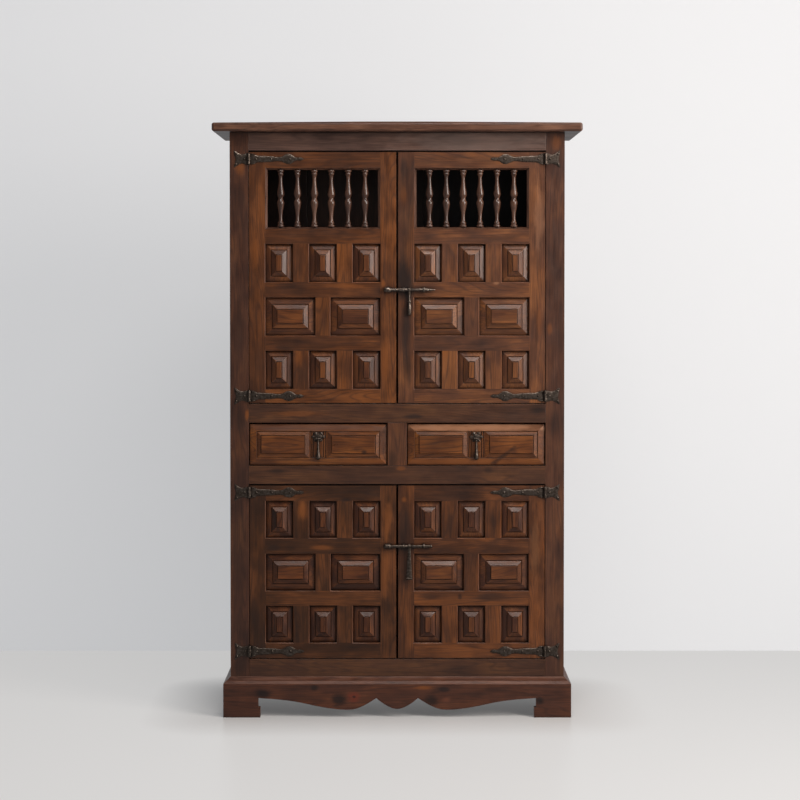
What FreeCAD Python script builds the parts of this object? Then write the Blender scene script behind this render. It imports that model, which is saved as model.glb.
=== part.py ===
import FreeCAD, Part
import os

# Tall two-stage cupboard: four panelled doors, two drawers, moulded plinth.
# Millimetres. +X is to the right seen from the front, the front faces -Y, +Z is up.
# The origin is on the floor, under the middle of the whole piece.

Vector = FreeCAD.Vector

# Carcass in plan
carcass_width = 1000.0
carcass_depth = 405.0
post_width = 56.0
post_depth = 45.0
rear_stile_width = 40.0
rear_stile_depth = 45.0
side_thickness = 26.0

# Heights, stacked from the floor
base_clearance = 62.0
bottom_rail_height = 111.0
lower_opening_height = 526.0
lower_mid_rail_height = 55.0
drawer_opening_height = 129.0
upper_mid_rail_height = 57.0
upper_opening_height = 756.0
top_rail_height = 55.0

# Top board
top_thickness = 26.0
top_crown = 3.0
top_front_overhang = 45.0
top_side_overhang = 50.0
top_eased_edge = 7.0

# Joinery
tenon_length = 30.0
tenon_thickness = 8.0
tenon_shoulder = 8.0
short_tenon_length = 12.0
fit_gap = 0.2
groove_depth = 7.0
tongue_depth = 6.5
overrun = 5.0

# Plinth
plinth_height = 99.0
plinth_thickness = 21.0
plinth_moulding_height = 22.0
foot_width = 111.0
foot_block_height = 31.0
foot_step = 6.0
apron_rise = 58.5
side_foot_width = 70.0
side_apron_rise = 44.0
side_apron_crown = 10.0
# Apron edge from the foot towards the middle: share of the half span, share of the rise
apron_scroll_shares = [
    (1.0, 1.0), (0.9, 0.95), (0.81, 0.89), (0.7, 0.77), (0.59, 0.6), (0.47, 0.455),
    (0.378, 0.4), (0.3, 0.445), (0.24, 0.615), (0.184, 0.84), (0.15, 1.0)]
apron_lobe_shares = [(0.15, 1.0), (0.125, 0.85), (0.067, 0.58), (0.0, 0.44)]
# Moulding section: share of the plinth's thickness, share of the moulding's height
moulding_shares = [
    (0.0, 0.0), (1.0, 0.0), (1.0, 0.09), (0.62, 0.47), (0.53, 0.47), (0.1, 0.91), (0.0, 1.0)]

# Doors
door_thickness = 24.0
door_side_gap = 2.0
door_head_gap = 4.5
door_foot_gap = 2.5
door_meeting_gap = 6.0
door_stop_gap = 0.5
door_stile_width = 48.0
door_top_rail = 47.0
grille_height = 182.0
grille_rail = 45.0
upper_cross_rail = 46.0
upper_bottom_rail = 42.0
lower_latch_rail = 48.0
lower_cross_rail = 46.0
lower_bottom_rail = 46.0
narrow_muntin = 49.0
wide_muntin = 46.0
narrow_panels = 3
wide_panels = 2
frame_arris = 2.2

# Raised panels: depths are measured back from the face of their frame
panel_back_depth = 18.0
panel_edge_depth = 10.5
panel_margin_depth = 5.0
panel_step_depth = 3.0
panel_field_proud = 7.0
field_step = 2.0
quirk_width = 1.6
quirk_depth = 1.6
narrow_panel_margin = 18.5
wide_panel_margin = 21.5
panel_bevel = 14.5
side_panel_margin = 20.0
side_panel_bevel = 34.0

# Grille
lining_side = 6.5
lining_end = 5.5
lining_slope_depth = 7.0
spindle_count = 6
# Share of the clear width between the lining's sides
spindle_pitch_share = 0.1529
spindle_radius = 11.2
spindle_pin_radius = 4.5
spindle_pin_length = 12.0
spindle_pin_gap = 0.1
# Spindle from its waist to its end: share of the half length, share of the radius
spindle_body_shares = [
    (0.0, 0.66), (0.05, 0.76), (0.11, 0.95), (0.16, 1.0), (0.23, 0.93), (0.34, 0.77),
    (0.46, 0.61), (0.58, 0.51), (0.68, 0.48), (0.76, 0.53), (0.82, 0.63)]
spindle_ring_shares = [(0.835, 0.76), (0.86, 0.82), (0.89, 0.7), (0.91, 0.7)]
spindle_bead_shares = [(0.91, 0.7), (0.95, 0.96), (1.0, 0.82)]

# Decks, shelves and what carries them
deck_thickness = 18.0
shelf_thickness = 18.0
shelf_setback = 10.0
upper_shelf_share = 0.46
lower_shelf_share = 0.5
cleat_width = 20.0
cleat_height = 25.0
stop_thickness = 18.0
stop_lap = 12.0
stop_height = 28.0
guide_height = 30.0
kicker_lap = 20.0
back_board_count = 5
back_board_thickness = 12.0
back_board_gap = 0.6
back_board_lap = 10.0
back_board_inset = 4.0

# Drawers
drawer_divider_width = 58.0
drawer_gap = 2.2
drawer_head_gap = 4.2
drawer_running_gap = 0.5
drawer_front_thickness = 22.0
drawer_side_thickness = 12.0
drawer_rebate = 8.0
drawer_side_drop = 3.5
drawer_back_drop = 12.0
drawer_end_gap = 12.0
drawer_bottom_thickness = 6.0
drawer_bottom_lift = 8.0
drawer_bottom_groove = 6.0
drawer_border = 21.0
drawer_border_edge_depth = 6.0
drawer_ledge_depth = 3.0
drawer_field_proud = 4.0
drawer_field_bevel = 14.0
drawer_centre_strip = 54.0
drawer_flutes = 2
drawer_flute_pitch = 6.5
drawer_flute_width = 3.0
drawer_flute_depth = 2.5

# Strap hinges
hinge_inset = 20.5
knuckle_radius = 5.0
knuckle_stand_off = 0.3
hinge_height = 32.0
hinge_knuckle_gap = 0.3
hinge_pin_radius = 2.2
hinge_pin_gap = 0.06
hinge_pin_head_radius = 3.2
hinge_pin_head_height = 1.6
hinge_plate_thickness = 2.5
leaf_gap = 0.8
strap_length = 164.0
post_plate_length = 38.0
post_plate_end_height = 50.0
post_plate_notch = 6.0
# Strap edge: share of its length, share of half the hinge height
strap_edge_shares = [
    (0.0, 1.0), (0.05, 0.96), (0.1, 0.7), (0.16, 0.57), (0.38, 0.55), (0.5, 0.4),
    (0.6, 0.52), (0.7, 0.92), (0.76, 0.9), (0.83, 0.48), (0.88, 0.32), (0.93, 0.36), (1.0, 0.0)]
strap_nail_shares = [0.1, 0.39, 0.74]
post_nail_shares = [(0.2, 0.0), (0.84, 0.62), (0.84, -0.62)]
nail_radius = 3.4
nail_height = 1.8

# Sliding bolts, measured from the middle of the cupboard
bolt_radius = 5.0
bolt_stand_off = 9.0
bolt_tip_x = -33.0
upper_bolt_end_x = 114.0
lower_bolt_end_x = 105.0
bolt_point_length = 20.0
bolt_point_radius = 1.6
bolt_blunt_length = 3.0
bolt_blunt_radius = 3.8
bolt_eye_x = 36.0
bolt_eye_width = 8.0
bolt_neck_width = 10.0
bolt_neck_radius = 3.8
bolt_guide_gap = 0.08
staple_bar = 2.6
staple_width = 7.0
staple_near_x = 19.5
staple_far_x = 79.5
keeper_x = -29.0
keeper_width = 20.0
keeper_bar = 3.4
eye_radius = 7.2
eye_gap = 0.06
upper_drop_length = 78.0
upper_drop_radius = 7.0
lower_drop_length = 100.0
lower_drop_top_width = 9.0
lower_drop_end_width = 18.0
lower_drop_thickness = 4.0
lower_drop_curl_radius = 3.2
# Turned drop: share of its length, share of its radius
upper_drop_shares = [
    (0.05, 0.62), (0.4, 0.6), (0.44, 0.84), (0.5, 0.84), (0.53, 0.66), (0.57, 0.78),
    (0.72, 0.96), (0.86, 1.0), (0.96, 0.72), (1.0, 0.0)]

# Drawer pulls
pull_rise = 23.0
pull_plate_thickness = 2.5
pull_lobe_radius = 9.0
pull_lobe_spread = 12.0
pull_cap_radius = 6.5
pull_cap_spread = 10.0
pull_pin_drop = 5.0
pull_pin_radius = 1.5
pull_pin_gap = 0.06
pull_pin_reach = 9.4
pull_lug_gap = 0.5
pull_lug_width = 2.5
pull_lug_radius = 3.4
pull_eye_radius = 3.8
pull_eye_width = 7.0
pull_drop_length = 64.0
pull_drop_radius = 6.8
pull_nail_radius = 2.0
pull_nail_height = 1.4
# Pull drop: share of its length, share of its radius
pull_drop_shares = [
    (0.04, 0.5), (0.3, 0.5), (0.52, 0.62), (0.72, 0.88), (0.86, 1.0), (0.96, 0.75), (1.0, 0.0)]

# Planes and levels that follow from the sizes above
half_width = carcass_width / 2
top_depth = carcass_depth + top_front_overhang
front_y = -top_depth / 2
back_y = top_depth / 2
face_y = front_y + top_front_overhang
post_back_y = face_y + post_depth
rear_stile_y = back_y - rear_stile_depth
rail_thickness = door_thickness + door_stop_gap
rail_back_y = face_y + rail_thickness
back_board_y = back_y - back_board_inset - back_board_thickness
opening_half = half_width - post_width
inner_half = half_width - side_thickness
plinth_half = half_width + plinth_thickness
plinth_y = face_y - plinth_thickness
divider_half = drawer_divider_width / 2

bottom_rail_z = base_clearance
lower_floor_z = bottom_rail_z + bottom_rail_height
lower_top_z = lower_floor_z + lower_opening_height
drawer_floor_z = lower_top_z + lower_mid_rail_height
drawer_top_z = drawer_floor_z + drawer_opening_height
upper_floor_z = drawer_top_z + upper_mid_rail_height
upper_top_z = upper_floor_z + upper_opening_height
carcass_top_z = upper_top_z + top_rail_height
rail_levels = [
    (bottom_rail_z, lower_floor_z), (lower_top_z, drawer_floor_z),
    (drawer_top_z, upper_floor_z), (upper_top_z, carcass_top_z)]

hinge_axis_x = opening_half - door_side_gap / 2
hinge_axis_y = face_y - knuckle_radius - knuckle_stand_off
bolt_y = face_y - bolt_stand_off


# Shape helpers
def block(x0, x1, y0, y1, z0, z1, grow=0):
    corner = Vector(x0 - grow, y0 - grow, z0 - grow)
    return Part.makeBox(x1 - x0 + 2 * grow, y1 - y0 + 2 * grow, z1 - z0 + 2 * grow, corner)


def mirrored(shape):
    return shape.mirror(Vector(0, 0, 0), Vector(1, 0, 0))


def turned_to_side(shape):
    """Turns what was built facing the front so that it faces the right side."""
    return shape.copy().rotate(Vector(0, 0, 0), Vector(0, 0, 1), 90)


def both_sides(solids):
    return solids + [mirrored(solid) for solid in solids]


def touching(shape, tools):
    return [tool for tool in tools if shape.BoundBox.intersect(tool.BoundBox)]


def carved(shape, tools):
    near = touching(shape, tools)
    return shape.cut(near) if near else shape


def joined(shapes):
    whole = shapes[0].fuse(shapes[1:])
    return whole.removeSplitter().Solids[0]


def stepped_block(x0, x1, z0, z1, plane_y, rings):
    """A block whose section changes from ring to ring; a ring is (inset, depth behind the plane)."""
    loops = []
    for inset, depth in rings:
        y = plane_y + depth
        loops.append([
            Vector(x0 + inset, y, z0 + inset), Vector(x1 - inset, y, z0 + inset),
            Vector(x1 - inset, y, z1 - inset), Vector(x0 + inset, y, z1 - inset)])
    faces = [Part.Face(Part.makePolygon(loop + loop[:1])) for loop in (loops[0], loops[-1])]
    for low, high in zip(loops, loops[1:]):
        for i in range(4):
            j = (i + 1) % 4
            faces.append(Part.Face(Part.makePolygon([low[i], low[j], high[j], high[i], low[i]])))
    solid = Part.makeSolid(Part.makeShell(faces))
    return solid if solid.Volume > 0 else solid.reversed()


def prism_y(wire, y0, y1):
    face = Part.Face(wire)
    return face.extrude(Vector(0, y1 - y0, 0))


def turned(profile, centre, ends_on_axis=False):
    """A solid of revolution about an upright axis; the profile is a list of edges in X and Z."""
    edges = list(profile)
    start = edges[0].firstVertex().Point
    end = edges[-1].lastVertex().Point
    foot = Vector(0, 0, start.z)
    head = Vector(0, 0, end.z)
    if start.distanceToPoint(foot) > 0:
        edges.insert(0, Part.makeLine(foot, start))
    if not ends_on_axis:
        edges.append(Part.makeLine(end, head))
    edges.append(Part.makeLine(head, foot))
    face = Part.Face(Part.Wire(edges))
    solid = face.revolve(Vector(0, 0, 0), Vector(0, 0, 1), 360)
    solid.translate(centre)
    return solid if solid.Volume > 0 else solid.reversed()


def curve(points):
    spline = Part.BSplineCurve()
    spline.interpolate(points)
    return spline.toShape()


def rod_x(x0, x1, y, z, radius):
    return Part.makeCylinder(radius, x1 - x0, Vector(x0, y, z), Vector(1, 0, 0))


def nail(x, plane_y, z, radius, height):
    """A low domed nail head that stands on a plane facing the front."""
    sphere_radius = (radius ** 2 + height ** 2) / (2 * height)
    centre = Vector(x, plane_y + sphere_radius - height, z)
    ball = Part.makeSphere(sphere_radius, centre)
    room = block(x - radius, x + radius, plane_y - height, plane_y, z - radius, z + radius)
    return ball.common(room).Solids[0]


def save(name, solids):
    shape = Part.Compound(solids) if len(solids) > 1 else solids[0]
    shape.exportStep("parts/" + name + ".step")


# Frame and panel work that faces the front
def opening_tools(x0, x1, z0, z1, plane_y, arris):
    """Panel groove and mitred arris of one opening in a frame."""
    groove = block(
        x0 - groove_depth, x1 + groove_depth,
        plane_y + panel_edge_depth - fit_gap, plane_y + panel_back_depth + fit_gap,
        z0 - groove_depth, z1 + groove_depth)
    bevel = stepped_block(
        x0, x1, z0, z1, plane_y, [(-arris - overrun, -overrun), (0, arris)])
    return [groove, bevel]


def quirk(inset, depth, next_depth):
    """Rings of a narrow groove at the foot of a step."""
    floor = depth + quirk_depth
    return [
        (inset - quirk_width, depth), (inset - quirk_width, floor), (inset, floor),
        (inset, next_depth)]


def raised_panel(x0, x1, z0, z1, plane_y, margin, bevel):
    rings = [
        (-tongue_depth, panel_back_depth), (-tongue_depth, panel_edge_depth),
        (0, panel_edge_depth)]
    rings.extend(quirk(margin, panel_margin_depth, panel_step_depth))
    rings.extend(quirk(margin + bevel, field_step - panel_field_proud, -panel_field_proud))
    return stepped_block(x0, x1, z0, z1, plane_y, rings)


# Carcass
def front_posts(side_tools):
    post = block(opening_half, half_width, face_y, post_back_y, 0, carcass_top_z)
    sockets = []
    for low, high in rail_levels:
        sockets.append(face_rail_tenon(low, high, fit_gap))
        sockets.append(side_rail_tenon(low, high, fit_gap))
    return both_sides([carved(post, sockets + side_tools)])


def rear_stiles(side_tools):
    stile = block(
        half_width - rear_stile_width, half_width, rear_stile_y, back_y, 0, carcass_top_z)
    sockets = [side_rail_tenon(low, high, fit_gap) for low, high in rail_levels]
    return both_sides([carved(stile, sockets + side_tools)])


def face_rail_tenon(low, high, grow=0):
    """The bar that runs through a front rail and stands out as a tenon at both ends."""
    reach = opening_half + tenon_length
    middle = face_y + rail_thickness / 2
    half = tenon_thickness / 2
    return block(
        -reach, reach, middle - half, middle + half,
        low + tenon_shoulder, high - tenon_shoulder, grow)


def side_rail_tenon(low, high, grow=0):
    reach = tenon_length - tenon_shoulder
    middle = half_width - side_thickness / 2
    half = tenon_thickness / 2
    return block(
        middle - half, middle + half, post_back_y - reach, rear_stile_y + reach,
        low + tenon_shoulder, high - tenon_shoulder, grow)


def divider_tenon(grow=0):
    middle = face_y + rail_thickness / 2
    half = tenon_thickness / 2
    reach = divider_half - tenon_shoulder
    return block(
        -reach, reach, middle - half, middle + half,
        drawer_floor_z - short_tenon_length, drawer_top_z + short_tenon_length, grow)


def face_rail(low, high):
    rail = block(-opening_half, opening_half, face_y, rail_back_y, low, high)
    whole = joined([rail, face_rail_tenon(low, high)])
    return carved(whole, [divider_tenon(fit_gap)])


def drawer_divider():
    post = block(-divider_half, divider_half, face_y, rail_back_y, drawer_floor_z, drawer_top_z)
    return joined([post, divider_tenon()])


def side_openings():
    return [
        (post_back_y, rear_stile_y, lower_floor_z, lower_top_z),
        (post_back_y, rear_stile_y, drawer_floor_z, drawer_top_z),
        (post_back_y, rear_stile_y, upper_floor_z, upper_top_z)]


def side_opening_tools():
    tools = []
    for opening in side_openings():
        for tool in opening_tools(*opening, -half_width, frame_arris):
            tools.append(turned_to_side(tool))
    return tools


def side_rails(side_tools):
    rails = []
    for low, high in rail_levels:
        rail = block(inner_half, half_width, post_back_y, rear_stile_y, low, high)
        rails.append(carved(joined([rail, side_rail_tenon(low, high)]), side_tools))
    return both_sides(rails)


def side_panels():
    panels = []
    for opening in side_openings():
        panel = raised_panel(*opening, -half_width, side_panel_margin, side_panel_bevel)
        panels.append(turned_to_side(panel))
    return both_sides(panels)


def level_board(front, top, thickness):
    """A board across the inside of the carcass, cut round the posts and the rear stiles."""
    board = block(-inner_half, inner_half, front, back_board_y, top - thickness, top)
    post_notch = block(
        opening_half, half_width, face_y, post_back_y, top - thickness, top)
    stile_notch = block(
        half_width - rear_stile_width, half_width, rear_stile_y, back_y, top - thickness, top)
    return carved(board, both_sides([post_notch, stile_notch])).Solids[0]


def shelf_level(floor_z, ceiling_z, share):
    return floor_z + (ceiling_z - floor_z) * share


upper_shelf_z = shelf_level(upper_floor_z, upper_top_z, upper_shelf_share)
lower_shelf_z = shelf_level(lower_floor_z, lower_top_z, lower_shelf_share)


def shelves():
    front = post_back_y + shelf_setback
    return [level_board(front, top, shelf_thickness) for top in (upper_shelf_z, lower_shelf_z)]


def shelf_cleats():
    cleats = []
    for top in (upper_shelf_z, lower_shelf_z):
        under = top - shelf_thickness
        cleats.append(block(
            inner_half - cleat_width, inner_half, post_back_y, rear_stile_y,
            under - cleat_height, under))
    return both_sides(cleats)


def door_stops():
    strips = []
    for top in (upper_top_z, lower_top_z):
        strips.append(block(
            -opening_half, opening_half, rail_back_y, rail_back_y + stop_thickness,
            top - stop_lap, top - stop_lap + stop_height))
    return strips


def drawer_guides():
    """Bars beside the drawers, and kickers above that keep an open drawer from tipping."""
    kicker_top = upper_floor_z - deck_thickness
    guide = block(
        opening_half, inner_half, post_back_y, rear_stile_y,
        drawer_floor_z, drawer_floor_z + guide_height)
    kicker = block(
        opening_half - kicker_lap, inner_half, post_back_y, rear_stile_y,
        drawer_top_z, kicker_top)
    centre_guide = block(
        -divider_half, divider_half, rail_back_y, rear_stile_y,
        drawer_floor_z, drawer_floor_z + guide_height)
    centre_kicker = block(
        -divider_half - kicker_lap, divider_half + kicker_lap, rail_back_y, rear_stile_y,
        drawer_top_z, kicker_top)
    return both_sides([guide, kicker]) + [centre_guide, centre_kicker]


def back_boards():
    """Upright boards, half lapped where they meet."""
    span = 2 * (half_width - rear_stile_width)
    pitch = span / back_board_count
    middle_y = back_board_y + back_board_thickness / 2
    boards = []
    for i in range(back_board_count):
        left = -span / 2 + i * pitch
        right = left + pitch
        first, last = i == 0, i == back_board_count - 1
        outer_left = left if first else left + back_board_gap
        inner_left = left if first else left - back_board_lap + back_board_gap
        inner_right = right if last else right - back_board_lap
        boards.append(joined([
            block(inner_left, inner_right, back_board_y, middle_y, bottom_rail_z, carcass_top_z),
            block(outer_left, right, middle_y, back_board_y + back_board_thickness,
                  bottom_rail_z, carcass_top_z)]))
    return boards


def top_board():
    """Crowned a little along its length, with eased edges."""
    half = half_width + top_side_overhang
    low = carcass_top_z
    shoulder = low + top_thickness
    crown = shoulder + top_crown
    left = Vector(-half, front_y, shoulder)
    right = Vector(half, front_y, shoulder)
    arc = Part.Arc(right, Vector(0, front_y, crown), left).toShape()
    ends = Part.makePolygon([
        left, Vector(-half, front_y, low), Vector(half, front_y, low), right])
    board = prism_y(Part.Wire([arc] + ends.Edges), front_y, back_y)
    eased = []
    for edge in board.Edges:
        box = edge.BoundBox
        along_front = box.YMax < front_y + fit_gap
        along_end = box.XLength < fit_gap and box.YLength > overrun
        if along_front or along_end:
            eased.append(edge)
    return board.makeFillet(top_eased_edge, eased)


# Plinth
def apron_outline():
    """Front board seen from the front: scrolled apron between two stepped feet."""
    inner = plinth_half - foot_width
    span = inner + foot_step
    scroll = [(share * span, rise * apron_rise) for share, rise in apron_scroll_shares]
    lobe = [(share * span, rise * apron_rise) for share, rise in apron_lobe_shares]
    lobe = lobe + [(-x, z) for x, z in reversed(lobe[:-1])]

    def points(pairs):
        return [Vector(x, plinth_y, z) for x, z in pairs]

    right = points(scroll)
    left = points([(-x, z) for x, z in reversed(scroll)])
    outer = points([
        (-span, apron_rise), (-span, foot_block_height), (-inner, foot_block_height), (-inner, 0),
        (-plinth_half, 0), (-plinth_half, plinth_height), (plinth_half, plinth_height),
        (plinth_half, 0), (inner, 0), (inner, foot_block_height), (span, foot_block_height),
        (span, apron_rise)])
    return Part.Wire(
        Part.makePolygon(outer).Edges + [curve(right), curve(points(lobe)), curve(left)])


def mitre_wedge(beyond):
    """Upright prism on the far side of the front right corner mitre."""
    reach = plinth_thickness + overrun
    inner = Vector(half_width, face_y, -overrun)
    outer = Vector(half_width + reach, face_y - reach, -overrun)
    back = Vector(half_width - overrun, face_y + overrun, -overrun)
    if beyond == "side":
        far = Vector(half_width + reach, face_y + overrun, -overrun)
    else:
        far = Vector(half_width - overrun, face_y - reach, -overrun)
    face = Part.Face(Part.makePolygon([back, inner, outer, far, back]))
    wedge = face.extrude(Vector(0, 0, plinth_height + plinth_moulding_height + 2 * overrun))
    return wedge


def moulding_points(place):
    return [
        place(out * plinth_thickness, plinth_height + up * plinth_moulding_height)
        for out, up in moulding_shares]


def plinth_front():
    wedges = both_sides([mitre_wedge("side")])
    board = prism_y(apron_outline(), plinth_y, face_y)
    section = moulding_points(lambda out, z: Vector(-plinth_half, face_y - out, z))
    moulding = Part.Face(Part.makePolygon(section + section[:1]))
    moulding = moulding.extrude(Vector(2 * plinth_half, 0, 0))
    return [carved(board, wedges).Solids[0], carved(moulding, wedges).Solids[0]]


def plinth_sides():
    wedge = mitre_wedge("front")
    arch_front = plinth_y + side_foot_width
    arch_back = back_y - side_foot_width
    arch_top = side_apron_rise - side_apron_crown

    def point(y, z):
        return Vector(half_width, y, z)

    outline = Part.makePolygon([
        point(arch_front, arch_top), point(arch_front, 0), point(plinth_y, 0),
        point(plinth_y, plinth_height), point(back_y, plinth_height), point(back_y, 0),
        point(arch_back, 0), point(arch_back, arch_top)])
    arch = Part.Arc(
        point(arch_back, arch_top), point((arch_front + arch_back) / 2, side_apron_rise),
        point(arch_front, arch_top)).toShape()
    board = Part.Face(Part.Wire(outline.Edges + [arch])).extrude(Vector(plinth_thickness, 0, 0))
    section = moulding_points(lambda out, z: Vector(half_width + out, plinth_y, z))
    moulding = Part.Face(Part.makePolygon(section + section[:1]))
    moulding = moulding.extrude(Vector(0, back_y - plinth_y, 0))
    return both_sides([carved(board, [wedge]).Solids[0], carved(moulding, [wedge]).Solids[0]])


# Doors, built on the left and mirrored to the right
door_left = -opening_half + door_side_gap
door_right = -door_meeting_gap / 2
field_left = door_left + door_stile_width
field_right = door_right - door_stile_width
field_width = field_right - field_left

upper_door_low = upper_floor_z + door_foot_gap
upper_door_high = upper_top_z - door_head_gap
lower_door_low = lower_floor_z + door_foot_gap
lower_door_high = lower_top_z - door_head_gap

upper_rails = [door_top_rail, grille_rail, upper_cross_rail, upper_cross_rail, upper_bottom_rail]
lower_rails = [door_top_rail, lower_latch_rail, lower_cross_rail, lower_bottom_rail]
upper_panel_height = (
    upper_door_high - upper_door_low - sum(upper_rails) - grille_height) / 3
lower_panel_height = (lower_door_high - lower_door_low - sum(lower_rails)) / 3
upper_rows = [
    ("grille", grille_height), ("narrow", upper_panel_height),
    ("wide", upper_panel_height), ("narrow", upper_panel_height)]
lower_rows = [
    ("narrow", lower_panel_height), ("wide", lower_panel_height), ("narrow", lower_panel_height)]


def rail_spans(top, rails, rows):
    """Low and high level of each rail, from the top down."""
    spans = []
    level = top
    for i, height in enumerate(rails):
        spans.append((level - height, level))
        level = level - height
        if i < len(rows):
            level = level - rows[i][1]
    return spans


def row_openings(kind):
    """Left and right edge of each opening in a row."""
    if kind == "grille":
        return [(field_left, field_right)]
    count, muntin = (narrow_panels, narrow_muntin) if kind == "narrow" else (wide_panels, wide_muntin)
    width = (field_width - (count - 1) * muntin) / count
    return [
        (field_left + i * (width + muntin), field_left + i * (width + muntin) + width)
        for i in range(count)]


def door_tenon_y():
    middle = face_y + (panel_edge_depth + panel_back_depth) / 2
    return middle - tenon_thickness / 2, middle + tenon_thickness / 2


def door_rail_tenon(low, high, grow=0):
    y0, y1 = door_tenon_y()
    return block(
        field_left - tenon_length, field_right + tenon_length, y0, y1,
        low + tenon_shoulder, high - tenon_shoulder, grow)


def muntin_tenon(x0, x1, low, high, grow=0):
    y0, y1 = door_tenon_y()
    return block(
        x0 + tenon_shoulder, x1 - tenon_shoulder, y0, y1,
        low - short_tenon_length, high + short_tenon_length, grow)


def door(low, high, rails, rows):
    """Stiles, rails, muntins and panels of one left door."""
    door_back = face_y + door_thickness
    spans = rail_spans(high, rails, rows)
    tools, sockets, muntins, panels = [], [], [], []
    for i, (kind, height) in enumerate(rows):
        row_low, row_high = spans[i + 1][1], spans[i][0]
        openings = row_openings(kind)
        if kind == "grille":
            sockets.extend(spindle_holes(row_low, row_high))
            continue
        margin = narrow_panel_margin if kind == "narrow" else wide_panel_margin
        for x0, x1 in openings:
            tools.extend(opening_tools(x0, x1, row_low, row_high, face_y, frame_arris))
            panels.append(raised_panel(x0, x1, row_low, row_high, face_y, margin, panel_bevel))
        for (_, x0), (x1, _) in zip(openings, openings[1:]):
            bar = block(x0, x1, face_y, door_back, row_low, row_high)
            muntins.append(joined([bar, muntin_tenon(x0, x1, row_low, row_high)]))
            sockets.append(muntin_tenon(x0, x1, row_low, row_high, fit_gap))
    rail_solids = []
    stile_sockets = []
    for rail_low, rail_high in spans:
        bar = block(field_left, field_right, face_y, door_back, rail_low, rail_high)
        bar = joined([bar, door_rail_tenon(rail_low, rail_high)])
        rail_solids.append(carved(bar, sockets + tools))
        stile_sockets.append(door_rail_tenon(rail_low, rail_high, fit_gap))
    stiles = [
        carved(block(x0, x1, face_y, door_back, low, high), stile_sockets + tools)
        for x0, x1 in ((door_left, field_left), (field_right, door_right))]
    return {
        "stiles": stiles, "rails": rail_solids, "panels": panels,
        "muntins": [carved(muntin, tools) for muntin in muntins]}


# Grille
def spindle_places():
    middle = (field_left + field_right) / 2
    pitch = (field_width - 2 * lining_side) * spindle_pitch_share
    first = middle - (spindle_count - 1) * pitch / 2
    return [first + i * pitch for i in range(spindle_count)]


def spindle_holes(low, high):
    radius = spindle_pin_radius + spindle_pin_gap
    y = face_y + door_thickness / 2
    reach = lining_end + spindle_pin_length + spindle_pin_gap
    holes = []
    for x in spindle_places():
        holes.append(Part.makeCylinder(
            radius, high - low - 2 * lining_end + 2 * reach,
            Vector(x, y, low + lining_end - reach)))
    return holes


def spindle(x, low, high):
    """Turned spindle, alike above and below its waist, with a round pin at both ends."""
    half = (high - low) / 2 - lining_end
    y = face_y + door_thickness / 2

    def up(shares):
        return [Vector(r * spindle_radius, 0, z * half) for z, r in shares]

    ring = [up(spindle_body_shares)[-1]] + up(spindle_ring_shares)
    edges = [curve(up(spindle_body_shares))]
    edges.extend(Part.makeLine(a, b) for a, b in zip(ring, ring[1:]))
    edges.append(curve(up(spindle_bead_shares)))
    bead_end = up(spindle_bead_shares)[-1]
    pin = Vector(spindle_pin_radius, 0, half)
    pin_end = Vector(spindle_pin_radius, 0, half + spindle_pin_length)
    edges.append(Part.makeLine(bead_end, pin))
    edges.append(Part.makeLine(pin, pin_end))
    upper = turned(edges, Vector(0, 0, 0))
    lower = upper.mirror(Vector(0, 0, 0), Vector(0, 0, 1))
    whole = joined([upper, lower])
    whole.translate(Vector(x, y, (low + high) / 2))
    return whole


def lining(low, high):
    """Four mitred strips round the grille, their front sloping in to the opening."""
    door_back = face_y + door_thickness
    throat = taper(low, high)
    outer = [(field_left, low), (field_right, low), (field_right, high), (field_left, high)]
    inner = [
        (field_left + lining_side, low + lining_end), (field_right - lining_side, low + lining_end),
        (field_right - lining_side, high - lining_end), (field_left + lining_side, high - lining_end)]
    strips = []
    for i in range(4):
        j = (i + 1) % 4
        ring = [outer[i], outer[j], inner[j], inner[i], outer[i]]
        wire = Part.makePolygon([Vector(x, face_y, z) for x, z in ring])
        strip = prism_y(wire, face_y, door_back)
        strips.append(carved(strip, [throat] + spindle_holes(low, high)).Solids[0])
    return strips


def taper(low, high):
    """The tapering space that gives the lining its slope."""
    front = [
        Vector(field_left, face_y, low), Vector(field_right, face_y, low),
        Vector(field_right, face_y, high), Vector(field_left, face_y, high)]
    depth = face_y + lining_slope_depth
    back = [
        Vector(field_left + lining_side, depth, low + lining_end),
        Vector(field_right - lining_side, depth, low + lining_end),
        Vector(field_right - lining_side, depth, high - lining_end),
        Vector(field_left + lining_side, depth, high - lining_end)]
    return Part.makeLoft(
        [Part.makePolygon(front + front[:1]), Part.makePolygon(back + back[:1])], True, True)


def grille():
    low = rail_spans(upper_door_high, upper_rails, upper_rows)[1][1]
    high = low + grille_height
    return lining(low, high) + [spindle(x, low, high) for x in spindle_places()]


# Hinges, built at the left post and mirrored
def hinge_levels():
    return {
        "upper": (upper_door_high - hinge_inset, upper_door_low + hinge_inset),
        "lower": (lower_door_high - hinge_inset, lower_door_low + hinge_inset)}


def knuckle(low, high):
    tube = Part.makeCylinder(
        knuckle_radius, high - low, Vector(-hinge_axis_x, hinge_axis_y, low))
    return tube


def pin_bore(level):
    reach = hinge_height / 2 + overrun
    return Part.makeCylinder(
        hinge_pin_radius + hinge_pin_gap, 2 * reach,
        Vector(-hinge_axis_x, hinge_axis_y, level - reach))


def knuckle_spans(level):
    third = hinge_height / 3
    low = level - hinge_height / 2
    return [
        (low, low + third), (low + third + hinge_knuckle_gap, low + 2 * third - hinge_knuckle_gap),
        (low + 2 * third, low + hinge_height)]


def leaf_tie(direction, low, high):
    """The part of a leaf that runs from its knuckle to where its full height begins."""
    root = -hinge_axis_x + direction * (knuckle_radius + leaf_gap)
    x0, x1 = sorted((-hinge_axis_x, root + direction * fit_gap))
    return block(x0, x1, face_y - hinge_plate_thickness, face_y, low, high)


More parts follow.
